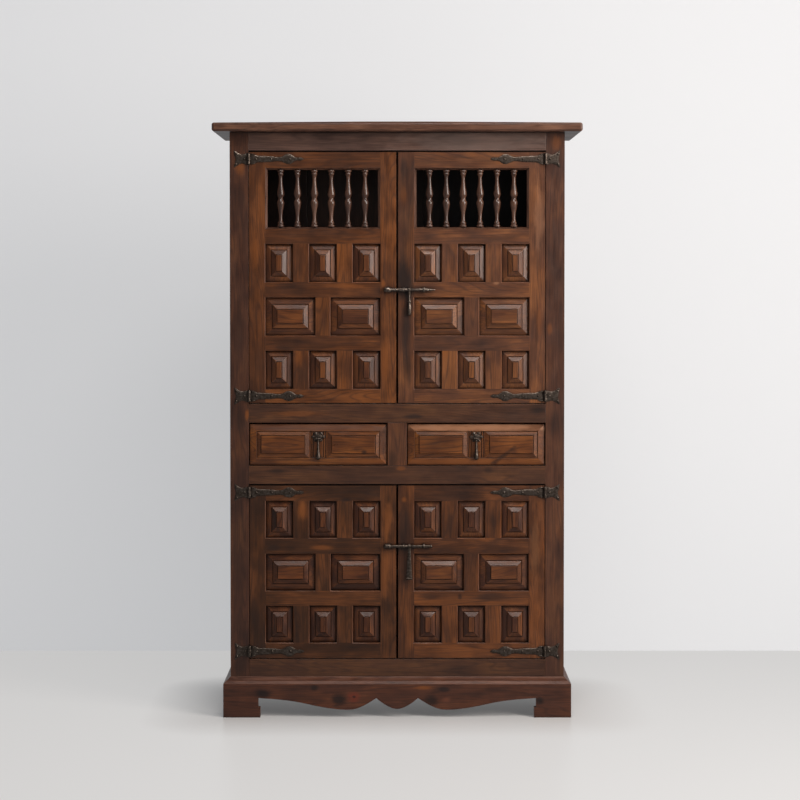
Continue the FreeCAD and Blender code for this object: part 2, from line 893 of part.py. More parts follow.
def strap(level):
    """Door strap: flared root, narrow band, swelling boss and a spear tip."""
    root = -hinge_axis_x + knuckle_radius + leaf_gap
    run = strap_length - knuckle_radius - leaf_gap
    plane = face_y - hinge_plate_thickness
    edge = [
        Vector(root + share * run, plane, level + wide * hinge_height / 2)
        for share, wide in strap_edge_shares]
    under = [Vector(p.x, p.y, 2 * level - p.z) for p in edge]
    wire = Part.Wire([
        curve(edge), curve(list(reversed(under))), Part.makeLine(under[0], edge[0])])
    plate = prism_y(wire, plane, face_y)
    low, high = knuckle_spans(level)[1]
    body = joined([plate, leaf_tie(1, low, high), knuckle(low, high)])
    nails = [
        nail(root + share * run, plane, level, nail_radius, nail_height)
        for share in strap_nail_shares]
    return [carved(body, [pin_bore(level)]).Solids[0]] + nails


def post_plate(level):
    """Fishtail plate on the post, with the outer pair of knuckles."""
    root = -hinge_axis_x - knuckle_radius - leaf_gap
    end = root - post_plate_length
    plane = face_y - hinge_plate_thickness
    half = hinge_height / 2
    half_end = post_plate_end_height / 2
    middle = (root + end) / 2
    top = [
        Vector(root, plane, level + half), Vector(middle, plane, level + half),
        Vector(end, plane, level + half_end)]
    bottom = [Vector(p.x, p.y, 2 * level - p.z) for p in reversed(top)]
    notch = Vector(end + post_plate_notch, plane, level)
    wire = Part.Wire([
        curve(top), Part.Arc(top[-1], notch, bottom[0]).toShape(), curve(bottom),
        Part.makeLine(bottom[-1], top[0])])
    pieces = [prism_y(wire, plane, face_y)]
    spans = knuckle_spans(level)
    for low, high in (spans[0], spans[2]):
        pieces.append(leaf_tie(-1, low, high))
        pieces.append(knuckle(low, high))
    nails = [
        nail(root - along * post_plate_length, plane, level + across * half_end,
             nail_radius, nail_height)
        for along, across in post_nail_shares]
    return [carved(joined(pieces), [pin_bore(level)]).Solids[0]] + nails


def hinge_pin(level):
    half = hinge_height / 2
    shaft = Part.makeCylinder(
        hinge_pin_radius, hinge_height, Vector(-hinge_axis_x, hinge_axis_y, level - half))
    head = Part.makeCylinder(
        hinge_pin_head_radius, hinge_pin_head_height,
        Vector(-hinge_axis_x, hinge_axis_y, level + half))
    return joined([shaft, head])


# Sliding bolts on the right doors
def staple(x, z, width, bar):
    """A loop over the bolt, open towards the door."""
    outer = bolt_radius + bolt_guide_gap + bar
    inner = bolt_radius + bolt_guide_gap
    x0, x1 = x - width / 2, x + width / 2
    loop = joined([
        rod_x(x0, x1, bolt_y, z, outer), block(x0, x1, bolt_y, face_y, z - outer, z + outer)])
    hollow = joined([
        rod_x(x0 - overrun, x1 + overrun, bolt_y, z, inner),
        block(x0 - overrun, x1 + overrun, bolt_y, face_y + overrun, z - inner, z + inner)])
    return loop.cut(hollow).Solids[0]


def bolt(z, end_x, point_length, point_radius):
    """Round bar with a neck for the eye of its drop, and a worked right end."""
    neck_low = bolt_eye_x - bolt_neck_width / 2
    neck_high = bolt_eye_x + bolt_neck_width / 2
    point = Part.makeCone(
        bolt_radius, point_radius, point_length,
        Vector(end_x - point_length, bolt_y, z), Vector(1, 0, 0))
    return joined([
        rod_x(bolt_tip_x, neck_low, bolt_y, z, bolt_radius),
        rod_x(neck_low, neck_high, bolt_y, z, bolt_neck_radius),
        rod_x(neck_high, end_x - point_length, bolt_y, z, bolt_radius), point])


def drop_eye(z):
    x0 = bolt_eye_x - bolt_eye_width / 2
    return rod_x(x0, x0 + bolt_eye_width, bolt_y, z, eye_radius)


def eye_bore(z):
    x0 = bolt_eye_x - bolt_eye_width / 2 - overrun
    x1 = bolt_eye_x + bolt_eye_width / 2 + overrun
    return rod_x(x0, x1, bolt_y, z, bolt_neck_radius + eye_gap)


def upper_drop(z):
    """Turned drop: slim neck, collar and rounded weight."""
    points = [
        Vector(r * upper_drop_radius, 0, -share * upper_drop_length)
        for share, r in upper_drop_shares]
    edges = [Part.makeLine(a, b) for a, b in zip(points[:5], points[1:6])]
    edges.append(curve(points[5:]))
    weight = turned(edges, Vector(bolt_eye_x, bolt_y, z), ends_on_axis=True)
    return carved(joined([drop_eye(z), weight]), [eye_bore(z)]).Solids[0]


def lower_drop(z):
    """Flat drop that flares to a curled end."""
    half_thickness = lower_drop_thickness / 2
    half_top = lower_drop_top_width / 2
    half_end = lower_drop_end_width / 2
    end_z = z - lower_drop_length + lower_drop_curl_radius
    top_z = z - bolt_neck_radius - eye_gap
    flat = Part.makePolygon([
        Vector(bolt_eye_x - half_top, bolt_y, top_z), Vector(bolt_eye_x + half_top, bolt_y, top_z),
        Vector(bolt_eye_x + half_end, bolt_y, end_z), Vector(bolt_eye_x - half_end, bolt_y, end_z),
        Vector(bolt_eye_x - half_top, bolt_y, top_z)])
    blade = prism_y(flat, bolt_y - half_thickness, bolt_y + half_thickness)
    blade.translate(Vector(0, -half_thickness, 0))
    curl = rod_x(
        bolt_eye_x - half_end, bolt_eye_x + half_end,
        bolt_y - lower_drop_curl_radius, end_z, lower_drop_curl_radius)
    return carved(joined([drop_eye(z), blade, curl]), [eye_bore(z)]).Solids[0]


# Drawers, built on the right and mirrored to the left
drawer_x0 = divider_half + drawer_gap
drawer_x1 = opening_half - drawer_gap
drawer_z0 = drawer_floor_z + drawer_gap
drawer_z1 = drawer_top_z - drawer_head_gap
drawer_front_back_y = face_y + drawer_front_thickness
drawer_side_z0 = drawer_floor_z + drawer_running_gap
drawer_side_z1 = drawer_z1 - drawer_side_drop
drawer_side_y0 = drawer_front_back_y - drawer_rebate
drawer_end_y = back_board_y - drawer_end_gap
drawer_middle_x = (drawer_x0 + drawer_x1) / 2


def drawer_side_bar(grow=0):
    return block(
        drawer_x0, drawer_x0 + drawer_side_thickness, drawer_side_y0, drawer_end_y,
        drawer_side_z0, drawer_side_z1, grow)


def across_drawer(shape):
    """The same shape at the drawer's other side."""
    return shape.mirror(Vector(drawer_middle_x, 0, 0), Vector(1, 0, 0))


def drawer_bottom(grow=0):
    inner0 = drawer_x0 + drawer_side_thickness
    inner1 = drawer_x1 - drawer_side_thickness
    z0 = drawer_side_z0 + drawer_bottom_lift
    return block(
        inner0 - drawer_bottom_groove, inner1 + drawer_bottom_groove,
        drawer_front_back_y - drawer_bottom_groove, drawer_end_y,
        z0, z0 + drawer_bottom_thickness, grow)


def drawer_flute_cuts(low, high):
    """Upright grooves near both edges of the strip between the fields."""
    edge = drawer_middle_x + drawer_centre_strip / 2
    cuts = []
    for i in range(1, drawer_flutes + 1):
        x = edge - i * drawer_flute_pitch
        cut = block(
            x, x + drawer_flute_width, face_y - overrun,
            face_y + drawer_ledge_depth + drawer_flute_depth, low, high)
        cuts.extend([cut, across_drawer(cut)])
    return cuts


def drawer_front():
    """Bevelled border round two raised fields, with a fluted strip between them."""
    board = stepped_block(
        drawer_x0, drawer_x1, drawer_z0, drawer_z1, face_y,
        [(0, drawer_front_thickness), (0, drawer_border_edge_depth), (drawer_border, 0),
         (drawer_border, drawer_ledge_depth)])
    strip_half = drawer_centre_strip / 2
    low = drawer_z0 + drawer_border
    high = drawer_z1 - drawer_border
    field = stepped_block(
        drawer_middle_x + strip_half, drawer_x1 - drawer_border, low, high, face_y,
        [(0, drawer_front_thickness / 2), (0, drawer_ledge_depth)]
        + quirk(drawer_field_bevel, field_step - drawer_field_proud, -drawer_field_proud))
    whole = joined([board, field, across_drawer(field)])
    side = drawer_side_bar(fit_gap)
    cuts = [side, across_drawer(side), drawer_bottom(fit_gap)] + drawer_flute_cuts(low, high)
    return carved(whole, cuts).Solids[0]


def drawer_box():
    side = carved(drawer_side_bar(), [drawer_bottom(fit_gap)])
    back = block(
        drawer_x0 + drawer_side_thickness, drawer_x1 - drawer_side_thickness,
        drawer_end_y - drawer_side_thickness, drawer_end_y,
        drawer_side_z0 + drawer_bottom_lift + drawer_bottom_thickness,
        drawer_side_z1 - drawer_back_drop)
    return [side, across_drawer(side), back, drawer_bottom()]


# Drawer pulls
pull_x = drawer_middle_x
pull_z = (drawer_z0 + drawer_z1) / 2 + pull_rise
pull_plane_y = face_y + drawer_ledge_depth
pull_pin_y = pull_plane_y - pull_pin_reach
pull_pin_z = pull_z - pull_pin_drop


def pull_disc(dx, dz, radius):
    return Part.makeCylinder(
        radius, pull_plate_thickness, Vector(pull_x + dx, pull_plane_y, pull_z + dz),
        Vector(0, -1, 0))


def pull_lug(direction):
    inner = pull_eye_width / 2 + pull_lug_gap
    x0, x1 = sorted((direction * inner, direction * (inner + pull_lug_width)))
    plate_front = pull_plane_y - pull_plate_thickness
    arm = block(
        pull_x + x0, pull_x + x1, pull_pin_y, plate_front + fit_gap,
        pull_pin_z - pull_lug_radius, pull_pin_z + pull_lug_radius)
    return joined([arm, rod_x(pull_x + x0, pull_x + x1, pull_pin_y, pull_pin_z, pull_lug_radius)])


def pull_plate():
    """Lobed rosette with two lugs, its pin and its nails."""
    discs = [pull_disc(0, 0, pull_lobe_radius)]
    discs.extend(pull_disc(side * pull_lobe_spread, 0, pull_lobe_radius) for side in (-1, 1))
    discs.extend(pull_disc(0, side * pull_cap_spread, pull_cap_radius) for side in (-1, 1))
    plate = joined(discs + [pull_lug(-1), pull_lug(1)])
    reach = pull_eye_width / 2 + pull_lug_gap + pull_lug_width
    bore = rod_x(
        pull_x - reach - overrun, pull_x + reach + overrun, pull_pin_y, pull_pin_z,
        pull_pin_radius + pull_pin_gap)
    pin = rod_x(pull_x - reach, pull_x + reach, pull_pin_y, pull_pin_z, pull_pin_radius)
    front = pull_plane_y - pull_plate_thickness
    nails = [
        nail(pull_x + side * (pull_lobe_spread + pull_nail_radius), front, pull_z,
             pull_nail_radius, pull_nail_height) for side in (-1, 1)]
    nails.append(nail(
        pull_x, front, pull_z + pull_cap_spread, pull_nail_radius, pull_nail_height))
    return [carved(plate, [bore]).Solids[0], pin] + nails


def pull_drop():
    """Slim drop that swells to a bulb, hung on the pin by its eye."""
    half = pull_eye_width / 2
    eye = rod_x(pull_x - half, pull_x + half, pull_pin_y, pull_pin_z, pull_eye_radius)
    bore = rod_x(
        pull_x - half - overrun, pull_x + half + overrun, pull_pin_y, pull_pin_z,
        pull_pin_radius + pull_pin_gap)
    points = [
        Vector(r * pull_drop_radius, 0, -share * pull_drop_length)
        for share, r in pull_drop_shares]
    weight = turned(
        [curve(points)], Vector(pull_x, pull_pin_y, pull_pin_z), ends_on_axis=True)
    return carved(joined([eye, weight]), [bore]).Solids[0]


def build():
    os.makedirs("parts", exist_ok=True)
    side_tools = side_opening_tools()
    save("top_board", [top_board()])
    save("front_posts", front_posts(side_tools))
    save("rear_stiles", rear_stiles(side_tools))
    names = ["bottom_rail", "drawer_bottom_rail", "drawer_top_rail", "top_rail"]
    for name, (low, high) in zip(names, rail_levels):
        save(name, [face_rail(low, high)])
    save("drawer_divider", [drawer_divider()])
    save("side_rails", side_rails(side_tools))
    save("side_panels", side_panels())
    save("back_boards", back_boards())
    save("upper_deck", [level_board(rail_back_y, upper_floor_z, deck_thickness)])
    save("lower_deck", [level_board(rail_back_y, drawer_floor_z, deck_thickness)])
    save("floor_board", [level_board(rail_back_y, lower_floor_z, deck_thickness)])
    save("shelves", shelves())
    save("shelf_cleats", shelf_cleats())
    save("door_stops", door_stops())
    save("drawer_guides", drawer_guides())
    save("plinth_front", plinth_front())
    save("plinth_sides", plinth_sides())

    doors = {
        "upper": door(upper_door_low, upper_door_high, upper_rails, upper_rows),
        "lower": door(lower_door_low, lower_door_high, lower_rails, lower_rows)}
    doors["upper"]["grille"] = grille()
    levels = hinge_levels()
    for stage, pieces in doors.items():
        pieces["hinge_straps"] = [solid for level in levels[stage] for solid in strap(level)]
        for name, solids in pieces.items():
            save(stage + "_left_door_" + name, solids)
            save(stage + "_right_door_" + name, [mirrored(solid) for solid in solids])
    all_levels = levels["upper"] + levels["lower"]
    save("hinge_plates", both_sides([s for level in all_levels for s in post_plate(level)]))
    save("hinge_pins", both_sides([hinge_pin(level) for level in all_levels]))

    upper_bolt_z = sum(rail_spans(upper_door_high, upper_rails, upper_rows)[2]) / 2
    lower_bolt_z = sum(rail_spans(lower_door_high, lower_rails, lower_rows)[1]) / 2
    save("upper_bolt", [bolt(
        upper_bolt_z, upper_bolt_end_x, bolt_point_length, bolt_point_radius)])
    save("lower_bolt", [bolt(
        lower_bolt_z, lower_bolt_end_x, bolt_blunt_length, bolt_blunt_radius)])
    save("upper_bolt_drop", [upper_drop(upper_bolt_z)])
    save("lower_bolt_drop", [lower_drop(lower_bolt_z)])
    for stage, z in (("upper", upper_bolt_z), ("lower", lower_bolt_z)):
        save(stage + "_bolt_staples", [
            staple(x, z, staple_width, staple_bar) for x in (staple_near_x, staple_far_x)])
        save(stage + "_bolt_keeper", [staple(keeper_x, z, keeper_width, keeper_bar)])

    drawer = {
        "front": [drawer_front()], "box": drawer_box(),
        "pull_plate": pull_plate(), "pull_drop": [pull_drop()]}
    for name, solids in drawer.items():
        save("right_drawer_" + name, solids)
        save("left_drawer_" + name, [mirrored(solid) for solid in solids])


build()
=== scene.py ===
import math

import bmesh
import bpy
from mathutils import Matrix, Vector, noise


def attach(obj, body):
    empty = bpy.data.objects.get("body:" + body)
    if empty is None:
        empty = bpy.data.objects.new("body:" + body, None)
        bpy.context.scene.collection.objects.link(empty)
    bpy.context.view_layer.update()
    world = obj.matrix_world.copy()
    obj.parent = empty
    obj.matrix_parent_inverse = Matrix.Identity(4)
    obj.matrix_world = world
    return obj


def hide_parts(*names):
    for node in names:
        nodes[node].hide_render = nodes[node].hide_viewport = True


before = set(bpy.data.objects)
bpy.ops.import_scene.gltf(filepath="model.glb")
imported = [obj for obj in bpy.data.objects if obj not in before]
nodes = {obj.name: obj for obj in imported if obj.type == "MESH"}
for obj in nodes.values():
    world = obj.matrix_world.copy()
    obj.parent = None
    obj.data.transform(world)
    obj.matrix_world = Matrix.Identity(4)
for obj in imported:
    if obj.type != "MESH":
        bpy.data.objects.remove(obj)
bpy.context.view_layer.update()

# Tall two-stage cupboard in stained pine with forged iron fittings.
# Metres. The front faces -Y, +X is to the right seen from the front, +Z is up.

MM = 0.001


def linear(code):
    """An sRGB hex colour as the linear values that a shader takes."""
    parts = [int(code[i:i + 2], 16) / 255 for i in (1, 3, 5)]
    return tuple(
        c / 12.92 if c <= 0.04045 else ((c + 0.055) / 1.055) ** 2.4 for c in parts) + (1.0,)


def add(tree, kind, inputs=None, stops=None, **settings):
    """Adds one node. An input is a value or the socket that feeds it; stops are a ramp's colours."""
    made = tree.nodes.new("ShaderNode" + kind)
    for name, value in settings.items():
        setattr(made, name, value)
    for key, value in (inputs or {}).items():
        if isinstance(value, bpy.types.NodeSocket):
            tree.links.new(value, made.inputs[key])
        else:
            made.inputs[key].default_value = value
    if stops:
        ramp = made.color_ramp.elements
        while len(ramp) < len(stops):
            ramp.new(0.5)
        for stop, (place, code) in zip(ramp, stops):
            stop.position = place
            stop.color = linear(code)
    return made


def new_material(name):
    made = bpy.data.materials.new(name)
    made.use_nodes = True
    made.node_tree.nodes.clear()
    return made, made.node_tree


# Finishes, with their pattern sizes in millimetres

PATCH = 70
MOTTLE = 18
# Real rings are 2 to 4 mm apart and real fibres under 1 mm wide, too fine to show from here
RING = 10
FIBRE = 3
# How many rings the grain wanders by across its widest swirl
WANDER = 22.0
# How far painted shade reaches out of corners and recesses, in mm, and its colour
SHADE_REACH = 13
CORNER_SHADE = "#150b08"
DENT = 7
FLAKE = 6
HOLLOW = 5


def along_grain(tree, place, grain, wide_rows):
    """Where a spot is on its board, with the grain along the third axis."""
    axes = add(tree, "SeparateXYZ", {0: place}).outputs
    order = {"x": (2, 1, 0), "y": (0, 2, 1), "z": (0, 1, 2)}
    laid = add(tree, "CombineXYZ", {i: axes[j] for i, j in enumerate(order[grain])}).outputs[0]
    for low, high in wide_rows:
        # Wide panels lie with their grain level
        above = add(tree, "Math", {0: axes[2], 1: low}, operation="GREATER_THAN").outputs[0]
        below = add(tree, "Math", {0: axes[2], 1: high}, operation="LESS_THAN").outputs[0]
        inside = add(tree, "Math", {0: above, 1: below}, operation="MULTIPLY").outputs[0]
        level = add(tree, "CombineXYZ", {0: axes[2], 1: axes[1], 2: axes[0]}).outputs[0]
        laid = add(tree, "Mix", {0: inside, 4: laid, 5: level}, data_type="VECTOR").outputs[1]
    return laid


def late_wood(tree, laid, swirl, streak):
    """The dark part of each growth ring, from 0 to the streak's strength."""
    across = add(tree, "VectorMath", {0: laid, 1: (1 / (RING * MM), 0.5 / (RING * MM), 0)},
                 operation="DOT_PRODUCT").outputs[1]
    phase = add(tree, "Math", {0: swirl, 1: WANDER, 2: across}, operation="MULTIPLY_ADD").outputs[0]
    ring = add(tree, "Math", {0: phase, 1: 0.5}, operation="PINGPONG").outputs[0]
    return add(tree, "MapRange", {0: ring, 1: 0.28, 2: 0.5, 3: 0.0, 4: streak},
               interpolation_type="SMOOTHSTEP").outputs[0]


def with_marks(tree, colour, place, mottle, marks):
    """A colour with blotches, knots and a few painted highlights over it, each with a ragged rim."""
    for x, z, half_width, half_height, depth, code in marks:
        off = add(tree, "VectorMath", {
            0: place, 1: (-x * MM, 0, -z * MM)}, operation="ADD").outputs[0]
        flat = add(tree, "VectorMath", {
            0: off, 1: (1 / (half_width * MM), 0, 1 / (half_height * MM))},
            operation="MULTIPLY").outputs[0]
        far = add(tree, "VectorMath", {0: flat}, operation="LENGTH").outputs[1]
        ragged = add(tree, "Math", {0: mottle, 1: -1.6, 2: far}, operation="MULTIPLY_ADD").outputs[0]
        cover = add(tree, "MapRange", {0: ragged, 1: -0.5, 2: 0.5, 3: depth, 4: 0.0},
                    interpolation_type="SMOOTHSTEP").outputs[0]
        colour = add(tree, "Mix", {0: cover, 6: colour, 7: linear(code)}, data_type="RGBA").outputs[2]
    return colour


def with_wear_and_painted_light(tree, colour, normal, mottle, wear_and_highlight):
    """A colour painted paler on arrises, for wear and for the highlight they catch, and near black in
    corners and recesses as painted shade.
    """
    # An arris is a face that stands at about 45 degrees to the board's own
    facing = add(tree, "VectorMath", {0: normal}, operation="ABSOLUTE").outputs[0]
    parts = add(tree, "SeparateXYZ", {0: facing}).outputs
    most = add(tree, "Math", {0: parts[0], 1: parts[1]}, operation="MAXIMUM").outputs[0]
    most = add(tree, "Math", {0: most, 1: parts[2]}, operation="MAXIMUM").outputs[0]
    # Arrises are painted paler, partly as wear and partly as a painted highlight
    arris = add(tree, "MapRange", {0: most, 1: 0.82, 2: 0.74, 3: 0.0, 4: 1.0}).outputs[0]
    patchy = add(tree, "MapRange", {0: mottle, 1: 0.38, 2: 0.62, 3: 0.05, 4: 0.5}).outputs[0]
    worn_and_highlit = add(tree, "Math", {0: arris, 1: patchy}, operation="MULTIPLY").outputs[0]
    colour = add(tree, "Mix", {0: worn_and_highlit, 6: colour, 7: linear(wear_and_highlight)}, data_type="RGBA").outputs[2]
    # Painted shade: near black where ambient occlusion finds a corner, recess or gap close by
    open_air = add(tree, "AmbientOcclusion", {"Distance": SHADE_REACH * MM}, samples=4).outputs["AO"]
    painted_shade = add(tree, "MapRange", {0: open_air, 1: 0.4, 2: 0.85, 3: 0.9, 4: 0.0}).outputs[0]
    return add(tree, "Mix", {0: painted_shade, 6: colour, 7: linear(CORNER_SHADE)},
               data_type="RGBA").outputs[2]


def stained_pine(name, grain, stain_codes, gloss=0.36, streak=0.5, wear_and_highlight="#7d5747",
                 wide_rows=(), marks=(), lacquer=0.0, outside=None):
    """Pine, planed by hand, stained with walnut and sealed with satin lacquer.

    The stain takes unevenly, so a board goes from purple black to orange brown in soft
    patches. Late wood shows as faint lines along the grain, painted shade darkens every
    corner and recess to near black, arrises are painted paler for wear and for the highlight
    they catch, and the lacquer gives a broad greyish sheen where light grazes it. Marks are
    places: x, z, half width and half height in mm, then how far they go from 0 to 1, and to
    which colour. Outside is the colour of the faces that look to the wall, which the stain
    hardly touched.
    """
    made, tree = new_material(name)
    dark, body, warm = stain_codes
    where = add(tree, "TexCoord")
    place, normal = where.outputs["Object"], where.outputs["Normal"]
    laid = along_grain(tree, place, grain, wide_rows)
    # Every board comes from another part of the log
    board = add(tree, "NewGeometry").outputs["Random Per Island"]
    shift = add(tree, "VectorMath", {0: (3.1, 7.7, 5.3), 3: board}, operation="SCALE").outputs[0]
    spot = add(tree, "VectorMath", {0: laid, 1: shift}, operation="ADD").outputs[0]

    def stretched(factor):
        return add(tree, "VectorMath", {0: spot, 1: (1, 1, factor)}, operation="MULTIPLY").outputs[0]

    patches = add(tree, "TexNoise", {
        "Vector": stretched(0.45), "Scale": 1 / (PATCH * MM), "Detail": 3.0,
        "Roughness": 0.6}).outputs[0]
    mottle = add(tree, "TexNoise", {
        "Vector": stretched(0.25), "Scale": 1 / (MOTTLE * MM), "Detail": 4.0,
        "Roughness": 0.62}).outputs[0]
    blend = add(tree, "Math", {0: mottle, 1: 0.4, 2: patches}, operation="MULTIPLY_ADD").outputs[0]
    blend = add(tree, "Math", {0: board, 1: 0.2, 2: blend}, operation="MULTIPLY_ADD").outputs[0]
    stain = add(tree, "ValToRGB", {0: blend}, stops=[
        (0.46, dark), (0.74, body), (1.0, warm)]).outputs[0]
    if outside:
        towards = add(tree, "SeparateXYZ", {0: normal}).outputs[1]
        thin = add(tree, "MapRange", {0: towards, 1: 0.5, 2: 0.8, 3: 0.0, 4: 0.75}).outputs[0]
        stain = add(tree, "Mix", {0: thin, 6: stain, 7: linear(outside)}, data_type="RGBA").outputs[2]

    swirl = add(tree, "TexNoise", {
        "Vector": stretched(0.1), "Scale": 1 / (PATCH * MM), "Detail": 1.0}).outputs[0]
    late = late_wood(tree, laid, swirl, streak)
    fibre = add(tree, "TexNoise", {
        "Vector": stretched(0.03), "Scale": 1 / (FIBRE * MM), "Detail": 2.0}).outputs[0]
    lined = add(tree, "Mix", {0: late, 6: stain, 7: linear(dark)}, data_type="RGBA").outputs[2]
    light = add(tree, "MapRange", {0: fibre, 1: 0.3, 2: 0.7, 3: 0.74, 4: 1.26}).outputs[0]
    colour = add(tree, "HueSaturation", {"Value": light, "Color": lined}).outputs[0]
    colour = with_marks(tree, colour, place, mottle, marks)
    colour = with_wear_and_painted_light(tree, colour, normal, mottle, wear_and_highlight)

    rough = add(tree, "MapRange", {
        0: mottle, 1: 0.3, 2: 0.7, 3: gloss - 0.05, 4: gloss + 0.1}).outputs[0]
    relief = add(tree, "Math", {0: late, 1: 0.8, 2: fibre}, operation="MULTIPLY_ADD").outputs[0]
    bump = add(tree, "Bump", {"Strength": 0.2, "Distance": 0.4 * MM, "Height": relief}).outputs[0]
    shader = add(tree, "BsdfPrincipled", {
        "Base Color": colour, "Roughness": rough, "IOR": 1.5, "Normal": bump,
        "Coat Weight": lacquer, "Coat Roughness": 0.2})
    add(tree, "OutputMaterial", {0: shader.outputs[0]})
    return made


def forged_iron(name, codes, rough_range):
    """Wrought iron, hammered hot, blacked and waxed: brown grey, lighter and glossier in random patches,
    and darkened in its hollows as painted shade.
    """
    made, tree = new_material(name)
    where = add(tree, "TexCoord").outputs["Object"]
    dents = add(tree, "TexVoronoi", {"Vector": where, "Scale": 1 / (DENT * MM)},
                feature="SMOOTH_F1").outputs[0]
    scale = add(tree, "TexNoise", {
        "Vector": where, "Scale": 1 / (FLAKE * MM), "Detail": 3.0}).outputs[0]
    colour = add(tree, "ValToRGB", {0: scale}, stops=list(
        zip((0.35, 0.55, 0.75), codes))).outputs[0]
    shade = add(tree, "AmbientOcclusion", {"Distance": HOLLOW * MM}, samples=4).outputs["AO"]
    shade = add(tree, "MapRange", {0: shade, 1: 0.3, 2: 0.9, 3: 0.25, 4: 1.0}).outputs[0]
    colour = add(tree, "HueSaturation", {"Value": shade, "Color": colour}).outputs[0]
    rough = add(tree, "MapRange", {
        0: scale, 1: 0.3, 2: 0.7, 3: rough_range[0], 4: rough_range[1]}).outputs[0]
    bump = add(tree, "Bump", {
        "Strength": 0.35, "Distance": 0.4 * MM, "Height": dents}).outputs[0]
    shader = add(tree, "BsdfPrincipled", {
        "Base Color": colour, "Metallic": 1.0, "Roughness": rough, "Normal": bump})
    add(tree, "OutputMaterial", {0: shader.outputs[0]})
    return made


# How wide arrises are eased, in mm, and what counts as a flat face and as an arris, in degrees
ARRIS = 1.4
TOP_ARRIS = 3.0
PLINTH_ARRIS = 2.5
DRAWER_ARRIS = 1.0
PANEL_ARRIS = 0.8
FLAT_ANGLE = 0.5
ARRIS_ANGLE = 38
WELD_GAP = 0.005


def dress(names, material, arris_mm=ARRIS):
    """Gives nodes their finish and eases their sharp arrises."""
    for name in names:
        piece = nodes[name]
        for slot in piece.material_slots:
            slot.material = material
        joint = piece.modifiers.new("joined", "WELD")
        joint.merge_threshold = WELD_GAP * MM
        if arris_mm:
            flat = piece.modifiers.new("whole faces", "DECIMATE")
            flat.decimate_type = "DISSOLVE"
            flat.angle_limit = math.radians(FLAT_ANGLE)
            ease = piece.modifiers.new("eased arrises", "BEVEL")
            ease.width = arris_mm * MM
            ease.segments = 2
            ease.limit_method = "ANGLE"
            ease.angle_limit = math.radians(ARRIS_ANGLE)
            ease.harden_normals = True
            ease.use_clamp_overlap = True


LEFT_RIGHT = ("left", "right")
UPPER_DOORS = ["upper_left_door_", "upper_right_door_"]
LOWER_DOORS = ["lower_left_door_", "lower_right_door_"]
DOORS = UPPER_DOORS + LOWER_DOORS

# Knots and blotches where the photograph shows them, in the words of stained_pine
KNOT, AMBER, PALE, PAINTED_SHEEN = "#1c1210", "#83491b", "#a07050", "#5c4034"
post_marks = [
    (-470, 1652, 16, 30, 0.55, AMBER), (-468, 1560, 14, 60, 0.4, KNOT),
    (-474, 1180, 14, 70, 0.4, KNOT), (-470, 905, 16, 60, 0.45, KNOT),
    (-474, 520, 20, 260, 0.3, KNOT), (-472, 150, 22, 60, 0.55, KNOT),
    (-449, 908, 7, 16, 0.7, AMBER), (-14, 770, 14, 30, 0.5, KNOT),
    (474, 1420, 12, 60, 0.25, KNOT), (472, 880, 18, 40, 0.4, KNOT),
    (476, 1720, 16, 24, 0.4, AMBER), (455, 1165, 8, 18, 0.4, AMBER)]
rail_marks = [
    (50, 901, 30, 7, 0.7, KNOT), (424, 922, 34, 14, 0.75, KNOT), (11, 746, 14, 8, 0.45, AMBER),
    (-360, 738, 34, 10, 0.6, KNOT), (273, 742, 16, 12, 0.5, KNOT), (-300, 910, 90, 10, 0.4, AMBER)]
plinth_marks = [
    (-404, 73, 29, 18, 0.85, KNOT), (-175, 53, 24, 20, 0.85, KNOT), (-129, 61, 20, 17, 0.7, "#702d1c"),
    (-129, 62, 6, 5, 0.85, KNOT), (-248, 90, 14, 10, 0.8, KNOT), (-300, 60, 60, 12, 0.3, KNOT),
    (141, 84, 17, 9, 0.8, KNOT), (80, 90, 28, 7, 0.65, AMBER), (103, 53, 25, 18, 0.75, KNOT),
    (148, 54, 18, 10, 0.5, "#7a4630"), (426, 51, 14, 12, 0.85, KNOT), (300, 84, 60, 8, 0.3, KNOT)]
# On the drawers' top borders, where light from above falls, the right one's PALE band is a painted
# highlight and the left one's grey band a painted sheen
drawer_marks = [
    (-99, 795, 10, 7, 0.8, KNOT), (-118, 806, 20, 8, 0.4, KNOT), (235, 869, 260, 13, 0.75, PALE),
    (-230, 869, 250, 13, 0.7, PAINTED_SHEEN), (200, 765, 250, 11, 0.75, AMBER),
    (-80, 766, 90, 10, 0.75, AMBER), (-390, 800, 26, 10, 0.35, KNOT), (130, 820, 76, 28, 0.4, KNOT)]
# A dark streak slants down across the right drawer
drawer_marks += [
    (352 - 7 * i, 811 - 5.6 * i, 7 + 0.4 * i, 4 + 0.3 * i, 0.55, KNOT) for i in range(10)]
